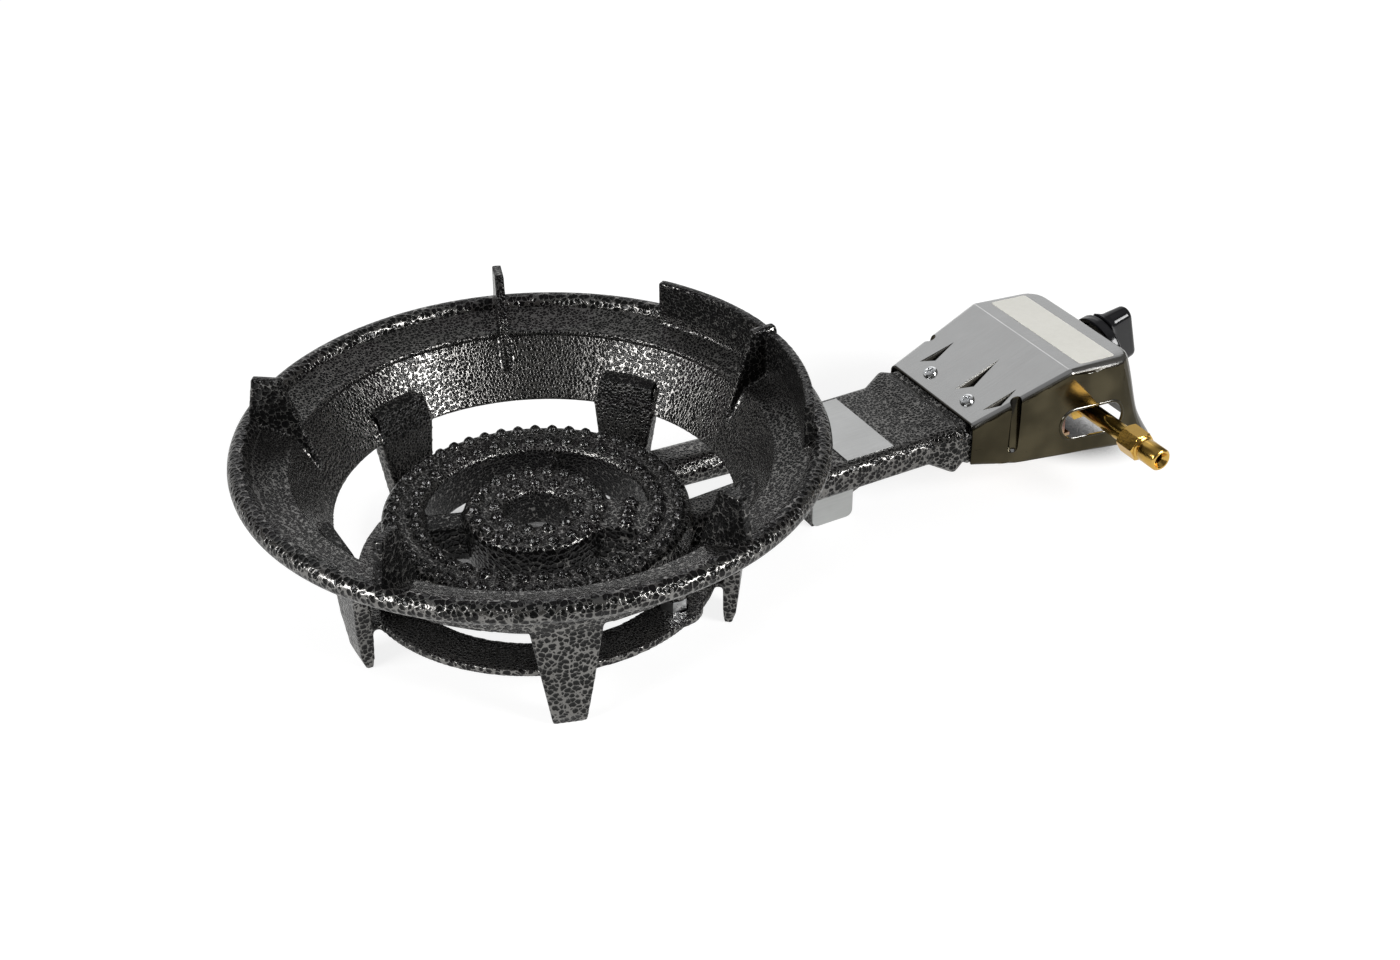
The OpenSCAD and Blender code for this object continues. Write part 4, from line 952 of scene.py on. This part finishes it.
def cover_mesh(cover, finishes):
    """The cover: pressed skin, cut open in front and below, given its thickness, slot and spindle hole.

    The finishes are the materials of its outside and its inside.
    """
    solid = cover_skin(cover)
    skin = BVHTree.FromBMesh(solid)
    body = new_object("cover_body", place_mesh("cover_body", solid))
    tools = [cut(body, "dents", dent_cutters(cover))]
    tools += [cut(body, f"groove{side}", groove_cutter(cover, skin, side)) for side in (-1.0, 1.0)]
    pressed = shaped(body)
    drop(*tools)
    bm = bmesh.new()
    bm.from_mesh(pressed)
    bpy.data.meshes.remove(pressed)
    front_low, _, _, _, tail, sag = (Vector((x, 0.0, z)) * MM for x, z, _ in COVER_CORNERS)
    bisect(bm, front_low, Vector((-1.0, 0.0, 0.0)), clear_outer=True)
    for start, end in ((front_low, sag), (sag, tail)):
        run = (end - start).normalized()
        bisect(bm, start, Vector((run.z, 0.0, -run.x)), clear_outer=True)
    outer = BVHTree.FromBMesh(bm)
    flat = place_mesh("cover_sheet", bm, 30.0)
    for material in finishes:
        flat.materials.append(material)
    sheet = new_object("cover_sheet", flat)
    modifier(
        sheet, "Sheet", "SOLIDIFY", thickness=cover.sheet, offset=-1.0, use_even_offset=True, material_offset=1
    )
    hole = circle(SPINDLE_HOLE, 48)
    tools = [
        cut(sheet, "slot", bar_cutter("slot", slot_frame(), pill_ring(*SLOT_SIZE, 48), 30.0, 70.0)),
        cut(sheet, "spindle_hole", bar_cutter("spindle_hole", spindle_frame(0.0), hole, 15.0, 45.0)),
    ]
    modifier(sheet, "Flat faces", "WEIGHTED_NORMAL", keep_sharp=True)
    result = shaped(sheet)
    drop(*tools)
    result.name = "cover_sheet"
    return result, outer


def slot_rim_mesh(outer):
    """Rolled edge round the pipe slot, laid on the cover's near side."""
    place = slot_frame()
    out = Vector((0.0, -1.0, 0.0))
    ring = []
    for x, y in pill_ring(SLOT_SIZE[0] + 0.6, SLOT_SIZE[1] + 0.6, 72):
        at = spot(place, (x, y, 0.0))
        ring.append(strike(outer, Vector((at.x, -0.2, at.z)), Vector((0.0, 1.0, 0.0))))
    rows = []
    for i, at in enumerate(ring):
        along = (ring[(i + 1) % len(ring)] - ring[i - 1]).normalized()
        side = along.cross(out).normalized()
        rows.append([at + (side * c * 0.95 + out * (s * 0.75 - 0.1)) * MM for c, s in circle(1.0, 12)])
    bm = bmesh.new()
    loft(bm, rows, hoop=True)
    return place_mesh("cover_slot_rim", bm, 60.0)


def cross_screw_mesh(name, places, head_r, head_h):
    """Pan-head screws with a cross recess, each on its own frame."""
    profile = [(head_r - 0.15, -0.6), (head_r, 0.0), (head_r, 0.25 * head_h)]
    for a in map(math.radians, (20, 40, 60)):
        profile.append((head_r - 0.9 * (1.0 - math.cos(a)), head_h * (0.25 + 0.55 * math.sin(a))))
    inner = [0.86 - 0.042 * i for i in range(19)]
    profile += [(head_r * part, head_h * (1.02 - 0.25 * part * part)) for part in inner]
    bm = bmesh.new()
    for place in places:
        rings = []
        for r, h in profile:
            ring = []
            for x, y in circle(r, 80):
                reach, narrow = max(abs(x), abs(y)), min(abs(x), abs(y))
                arm = clamp((0.66 - narrow) / 0.22) * clamp((0.58 * head_r - reach) / 0.35)
                ring.append(spot(place, (x, y, h - 1.1 * arm)))
            rings.append(ring)
        loft(bm, rings, start=False)
    return place_mesh(name, bm, 40.0)


def soft_plate_mesh(name, place, x0, x1, half, thick, corner):
    """A thin plate with round corners, lying on the XY plane of its frame."""
    ring = []
    cx, cy = (x1 - x0) / 2.0 - corner, half - corner
    for quarter, (sx, sy) in enumerate(((1, 1), (-1, 1), (-1, -1), (1, -1))):
        for i in range(8):
            a = math.pi / 2.0 * (quarter + i / 7.0)
            ring.append((sx * cx + corner * math.cos(a), sy * cy + corner * math.sin(a)))
    mid = (x0 + x1) / 2.0
    rings = []
    for inset, h in ((0.0, 0.0), (0.0, thick * 0.7), (thick * 0.3, thick)):
        drawn_in = [(mid + x - math.copysign(inset, x), y - math.copysign(inset, y), h) for x, y in ring]
        rings.append([spot(place, point) for point in drawn_in])
    bm = bmesh.new()
    loft(bm, rings)
    return place_mesh(name, bm)


def clip_round(x, y, limit):
    """A point drawn in to a radius."""
    reach = math.hypot(x, y)
    return (x, y) if reach <= limit else (x * limit / reach, y * limit / reach)


def knob_mesh(knob):
    """Round skirt and a straight grip with soft edges."""
    place = spindle_frame(KNOB_FOOT)
    r, depth = knob.radius / MM, knob.depth / MM
    bm = bmesh.new()
    skirt = [(0.05, 4.6), (r - 3.4, 4.6), (r - 3.0, 4.0), (r - 2.8, 0.3), (r - 2.5, 0.0), (r - 0.5, 0.0)]
    skirt += [(r - 0.12, 0.15), (r, 0.6), (r, 4.3), (r - 0.2, 5.0), (r - 0.8, 5.6), (r - 2.6, 6.9)]
    skirt += [(r - 5.5, 8.0), (r - 10.0, 8.7), (0.05, 9.0)]
    loft(bm, turned_rings(skirt, 96, place))
    sections = [(-2.6, 7.2), (-1.5, 7.9), (-0.7, 8.9), (-0.2, 10.2), (0.0, 11.6), (0.9, depth - 3.4)]
    for a in map(math.radians, (15, 30, 45, 60, 75, 88)):
        sections.append((0.9 + 3.3 * (1.0 - math.cos(a)), depth - 3.4 + 3.3 * math.sin(a)))
    sections.append((5.2, depth - 0.03))
    rings = []
    for inset, h in sections:
        ring = pill_ring(knob.grip_len / MM - 2.0 * inset, knob.grip_width / MM - 2.0 * inset, 64)
        limit = r - 0.3 if h < 9.5 else r
        rings.append([spot(place, (*clip_round(x, y, limit), h)) for x, y in ring])
    loft(bm, rings)
    return place_mesh("knob_moulding", bm, 45.0)


def inlet_mesh(inlet):
    """Hexagon with chamfered corners, collar, relief and spigot with a countersunk mouth."""
    place = frame_matrix(INLET_FOOT, (1.0, 0.0, 0.0), (0.0, -1.0, 0.0))
    half, r, bore = inlet.flats / 2.0 / MM, inlet.spigot_r / MM, inlet.bore_r / MM
    steps, hex_len = 96, 13.5
    rings = turned_rings([(5.1, 0.6), (5.1, 0.0), (half - 0.35, 0.0)], steps, place)
    spans = [0.0, 0.25, 0.5, 0.8, 1.1, 1.5, 2.2]
    for h, from_end in [(h, h) for h in spans] + [(hex_len - h, h) for h in reversed(spans)]:
        ring = []
        for i in range(steps):
            a = 2.0 * math.pi * i / steps
            flat = half / math.cos((a % (math.pi / 3.0)) - math.pi / 6.0)
            ring_r = min(flat, half - 0.2 + 1.75 * from_end)
            ring.append(spot(place, (ring_r * math.cos(a), ring_r * math.sin(a), h)))
        rings.append(ring)
    turned = [(half - 0.45, hex_len), (half - 0.5, hex_len + 0.5), (half - 0.8, hex_len + 0.8)]
    turned += [(r - 0.75, hex_len + 1.2), (r - 0.75, hex_len + 2.3), (r - 0.1, hex_len + 2.7), (r, hex_len + 3.0)]
    turned += [(r, 27.8), (r - 0.15, 28.1), (r - 0.9, 28.85), (r - 1.3, 29.0), (r - 1.9, 28.95)]
    turned += [(bore + 0.3, 26.6), (bore, 26.2), (bore, 12.0)]
    rings += turned_rings(turned, steps, place)
    bm = bmesh.new()
    loft(bm, rings)
    return place_mesh("inlet_brass", bm, 28.0)


# Operators


class WOKBURNER_OT_stage(Operator):
    """Pale floor, soft lamps and the camera."""

    bl_idname = "wokburner.stage"
    bl_label = "Stage"

    def execute(self, context):
        scene = context.scene
        stage = scene.wok_burner.stage
        scene.view_settings.view_transform = "Standard"
        self.make_floor(stage)
        self.make_world(scene)
        for lamp, power in zip(LAMPS, (stage.left_power, stage.right_power)):
            self.make_lamp(*lamp, power)
        self.make_camera(scene, stage)
        return {"FINISHED"}

    def make_floor(self, stage):
        bm = bmesh.new()
        bmesh.ops.create_grid(bm, x_segments=8, y_segments=8, size=stage.floor / 2.0)
        floor = new_object("floor", place_mesh("floor", bm))
        floor.location.z = -0.0002
        floor.data.materials.append(self.floor_material())

    def floor_material(self):
        """White to the camera, greyer in mirrors, and with a painted shadow where the part stands close over it."""
        material = bpy.data.materials.new("Pale floor")
        material.use_nodes = True
        material.node_tree.nodes.clear()
        nodes = Nodes(material.node_tree)
        path = nodes.add("ShaderNodeLightPath").outputs
        seen = path["Is Camera Ray"]
        mirrored = nodes.math("MAXIMUM", path["Is Glossy Ray"], path["Is Transmission Ray"])
        # Painted shadow: dark patches under the burner and the cover, cleared where ambient occlusion finds the
        # floor open.
        lit = 1.0
        for middle, inner, outer in FLOOR_SHADES:
            reach = nodes.reach(nodes.vector("SUBTRACT", nodes.place(), middle))
            lit = nodes.times(nodes.ramp(reach, inner, outer, 0.05, 1.0), lit)
        open_share = nodes.add("ShaderNodeAmbientOcclusion", {"Distance": 0.12}, samples=8).outputs["AO"]
        lit = nodes.math("MAXIMUM", lit, nodes.ramp(open_share, 0.30, 0.56))
        plain = nodes.mix(lit, (0.03, 0.03, 0.03), (0.30, 0.30, 0.30))
        colour = nodes.mix(seen, nodes.mix(mirrored, (0.35, 0.35, 0.345), (0.62, 0.62, 0.61)), plain)
        strength = nodes.plus(nodes.times(seen, 0.84, lit), nodes.times(mirrored, 0.36))
        matt = nodes.add("ShaderNodeBsdfDiffuse", {"Color": colour})
        glow = nodes.add("ShaderNodeEmission", {"Strength": strength})
        both = nodes.add("ShaderNodeAddShader", {0: matt.outputs[0], 1: glow.outputs[0]})
        nodes.add("ShaderNodeOutputMaterial", {"Surface": both.outputs[0]})
        return material

    def make_world(self, scene):
        """A dim room with a lighter ceiling, and behind the part a bright panel with a brighter strip."""
        world = bpy.data.worlds.new("Studio")
        world.use_nodes = True
        scene.world = world
        nodes = Nodes(world.node_tree)
        across, back, up = nodes.split(nodes.add("ShaderNodeTexCoord").outputs["Generated"])
        width = nodes.times(nodes.ramp(across, -0.40, -0.12), nodes.fall(across, 0.70, 0.90))
        panel = nodes.times(nodes.ramp(back, 0.42, 0.66), width)
        strip = nodes.times(nodes.ramp(across, 0.28, 0.33), nodes.fall(across, 0.39, 0.44), panel)
        room = nodes.mix(nodes.ramp(up, 0.74, 0.92), (0.085, 0.082, 0.076), (0.26, 0.26, 0.265))
        bright = nodes.mix(strip, (0.64, 0.645, 0.65), (1.5, 1.5, 1.5))
        background = world.node_tree.nodes["Background"].inputs
        nodes.feed(background["Color"], nodes.mix(panel, room, bright))
        nodes.feed(background["Strength"], 1.0)

    def make_lamp(self, name, at, target, size, power):
        lamp = bpy.data.lights.new(name, "AREA")
        lamp.shape = "RECTANGLE"
        lamp.size, lamp.size_y = size
        lamp.energy = power
        holder = new_object(name, lamp)
        holder.location = at
        holder.rotation_euler = (Vector(target) - Vector(at)).to_track_quat("-Z", "Y").to_euler()

    def make_camera(self, scene, stage):
        turn, rise, roll = map(math.radians, CAMERA_ANGLES)
        back = Vector((math.sin(turn) * math.cos(rise), -math.cos(turn) * math.cos(rise), math.sin(rise)))
        level = Vector((math.cos(turn), math.sin(turn), 0.0))
        upright = back.cross(level)
        right = math.cos(roll) * level + math.sin(roll) * upright
        up = math.cos(roll) * upright - math.sin(roll) * level
        camera = bpy.data.cameras.new("camera")
        camera.lens = stage.lens
        camera.sensor_fit = "HORIZONTAL"
        camera.sensor_width = 36.0
        camera.clip_end = 100.0
        place = Matrix((right, up, back)).transposed().to_4x4()
        target = Vector(CAMERA_POINT) + CAMERA_SHIFT[0] * right + CAMERA_SHIFT[1] * up
        place.translation = target + CAMERA_AWAY * back
        holder = new_object("camera", camera)
        holder.matrix_world = place
        scene.camera = holder


class WOKBURNER_OT_stand(Operator):
    """Ring casting with its fins, heat shield and legs."""

    bl_idname = "wokburner.stand"
    bl_label = "Stand"

    def execute(self, context):
        settings = context.scene.wok_burner
        mesh = soft_casting("stand_casting", "stand", settings.casting)
        add_step(mesh)
        add_pads(mesh)
        # The stand's fins, shield and pads are darkened by narrower veins: painted shade.
        paint = paint_material("Hammered paint, stand", settings.paint, painted_shade=proud_shade_mask)
        add_piece("stand_casting", mesh, paint, "frame", "hammertone_stand", "stand")
        return {"FINISHED"}


class WOKBURNER_OT_burner(Operator):
    """Burner casting and its domed ports."""

    bl_idname = "wokburner.burner"
    bl_label = "Burner"

    def execute(self, context):
        settings = context.scene.wok_burner
        mesh = soft_casting("burner_casting", "burner_body", settings.casting)
        # The head's gap and eye are darkened by narrower veins: painted shade.
        paint = paint_material("Hammered paint, burner", settings.paint, painted_shade=hollow_shade_mask)
        add_piece("burner_casting", mesh, paint, "frame", "hammertone_burner", "burner_body")
        fine = paint_material("Hammered paint, ports", settings.paint, cell_share=0.6, vein=-0.06, gloss=0.65)
        add_piece("burner_ports", port_mesh(settings.casting), fine, "frame", "hammertone_burner")
        return {"FINISHED"}


class WOKBURNER_OT_fasteners(Operator):
    """Bolts, washers, nuts, hidden screws and the spindle's return spring."""

    bl_idname = "wokburner.fasteners"
    bl_label = "Fasteners"

    def execute(self, context):
        zinc = metal_material("Zinc-plated steel")
        dress(zinc, "burner_bolts", "burner_washers", "burner_nuts", "bracket_screws", "body_screw", "bonnet_screws")
        spring = metal_material("Spring steel")
        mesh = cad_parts["stem_spring"].data.copy()
        mesh.materials.clear()
        along = SPINDLE
        reach = [along.dot(vert.co) for vert in mesh.vertices]
        middle = sum((vert.co for vert in mesh.vertices), Vector()) / len(mesh.vertices)
        foot = middle + (min(reach) - along.dot(middle)) * along
        piece = add_piece("return_spring", mesh, spring, "plug", "spring_steel", "stem_spring")
        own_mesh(piece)
        return {"FINISHED"}


class WOKBURNER_OT_plates(Operator):
    """Bare foil label on the tubes and plate on the foot."""

    bl_idname = "wokburner.plates"
    bl_label = "Plates"

    def execute(self, context):
        dress(metal_material("Matt foil"), "rating_label")
        dress(metal_material("Dull plate"), "foot_plate")
        return {"FINISHED"}


class WOKBURNER_OT_cover(Operator):
    """Pressed sheet cover with its dents, slot and screws."""

    bl_idname = "wokburner.cover"
    bl_label = "Cover"

    def execute(self, context):
        cover = context.scene.wok_burner.cover
        sheet = sheet_material(cover)
        mesh, outer = cover_mesh(cover, (sheet, metal_material("Sheet, inside")))
        add_piece("cover_sheet", mesh, sheet, "frame", "cover_chrome", "valve_cover")
        add_piece("cover_slot_rim", slot_rim_mesh(outer), sheet, "frame", "cover_chrome")
        zinc = metal_material("Bright screws")
        places = [face_frame(SLOPE) @ Matrix.Translation(Vector((x, y, 0.0)) * MM) for x, y in COVER_SCREWS]
        screws = cross_screw_mesh("cover_screw_heads", places, head_r=4.2, head_h=2.0)
        add_piece("cover_screw_heads", screws, zinc, "frame", "zinc_steel", "cover_screws")
        return {"FINISHED"}


class WOKBURNER_OT_cover_label(Operator):
    """Blank label on the cover's flat top."""

    bl_idname = "wokburner.cover_label"
    bl_label = "Cover label"

    def execute(self, context):
        mesh = soft_plate_mesh("blank_label", face_frame(TOP), x0=9.0, x1=34.0, half=41.5, thick=0.22, corner=1.6)
        add_piece("blank_label", mesh, paper_material(), "frame", "label_paper", "cover_label")
        return {"FINISHED"}


class WOKBURNER_OT_knob(Operator):
    """Black knob and the brass of its spindle."""

    bl_idname = "wokburner.knob"
    bl_label = "Knob"

    def execute(self, context):
        knob = context.scene.wok_burner.knob
        add_piece("knob_moulding", knob_mesh(knob), moulding_material(knob.colour), "knob", "black_knob", "knob")
        dress(metal_material("Spindle brass"), "valve_stem")
        return {"FINISHED"}


class WOKBURNER_OT_inlet(Operator):
    """Brass pipe, nut, jets and gas inlet."""

    bl_idname = "wokburner.inlet"
    bl_label = "Gas inlet"

    def execute(self, context):
        inlet = context.scene.wok_burner.inlet
        turned = metal_material("Turned brass", tuple(inlet.colour))
        add_piece("inlet_brass", inlet_mesh(inlet), turned, "frame", "turned_brass", "inlet_connector")
        dress(metal_material("Drawn brass"), "inlet_pipe")
        dress(turned, "pipe_nut", "outer_injector", "inner_injector")
        return {"FINISHED"}


class WOKBURNER_OT_valve(Operator):
    """Gas valve, its bracket and the air discs."""

    bl_idname = "wokburner.valve"
    bl_label = "Valve"

    def execute(self, context):
        dress(metal_material("Cast brass"), "valve_body", "valve_bonnet", "valve_plug")
        dress(metal_material("Yellow zinc"), "valve_bracket", "outer_air_shutter", "inner_air_shutter")
        return {"FINISHED"}


OPERATORS = (
    WOKBURNER_OT_stage,
    WOKBURNER_OT_stand,
    WOKBURNER_OT_burner,
    WOKBURNER_OT_fasteners,
    WOKBURNER_OT_plates,
    WOKBURNER_OT_cover,
    WOKBURNER_OT_cover_label,
    WOKBURNER_OT_knob,
    WOKBURNER_OT_inlet,
    WOKBURNER_OT_valve,
)


class WOKBURNER_PT_panel(Panel):
    """The burner's pieces and sizes in the sidebar."""

    bl_idname = "WOKBURNER_PT_panel"
    bl_label = "Wok burner"
    bl_space_type = "VIEW_3D"
    bl_region_type = "UI"
    bl_category = "Wok burner"

    def draw(self, context):
        settings = context.scene.wok_burner
        for operator in OPERATORS:
            self.layout.operator(operator.bl_idname)
        for group in ("paint", "casting", "cover", "knob", "inlet", "stage"):
            box = self.layout.box()
            box.label(text=group.capitalize())
            values = getattr(settings, group)
            for key in values.__annotations__:
                box.prop(values, key)


GROUPS = (HammeredPaint, CastingShape, CoverShape, KnobShape, InletShape, StageLook, WokBurner)
CLASSES = (*GROUPS, *OPERATORS, WOKBURNER_PT_panel)


def register():
    for item in CLASSES:
        bpy.utils.register_class(item)
    bpy.types.Scene.wok_burner = PointerProperty(type=WokBurner)


def unregister():
    del bpy.types.Scene.wok_burner
    for item in reversed(CLASSES):
        bpy.utils.unregister_class(item)


def main():
    """Builds every piece in turn."""
    register()
    for operator in OPERATORS:
        group, name = operator.bl_idname.split(".")
        getattr(getattr(bpy.ops, group), name)()


if __name__ == "__main__":
    main()
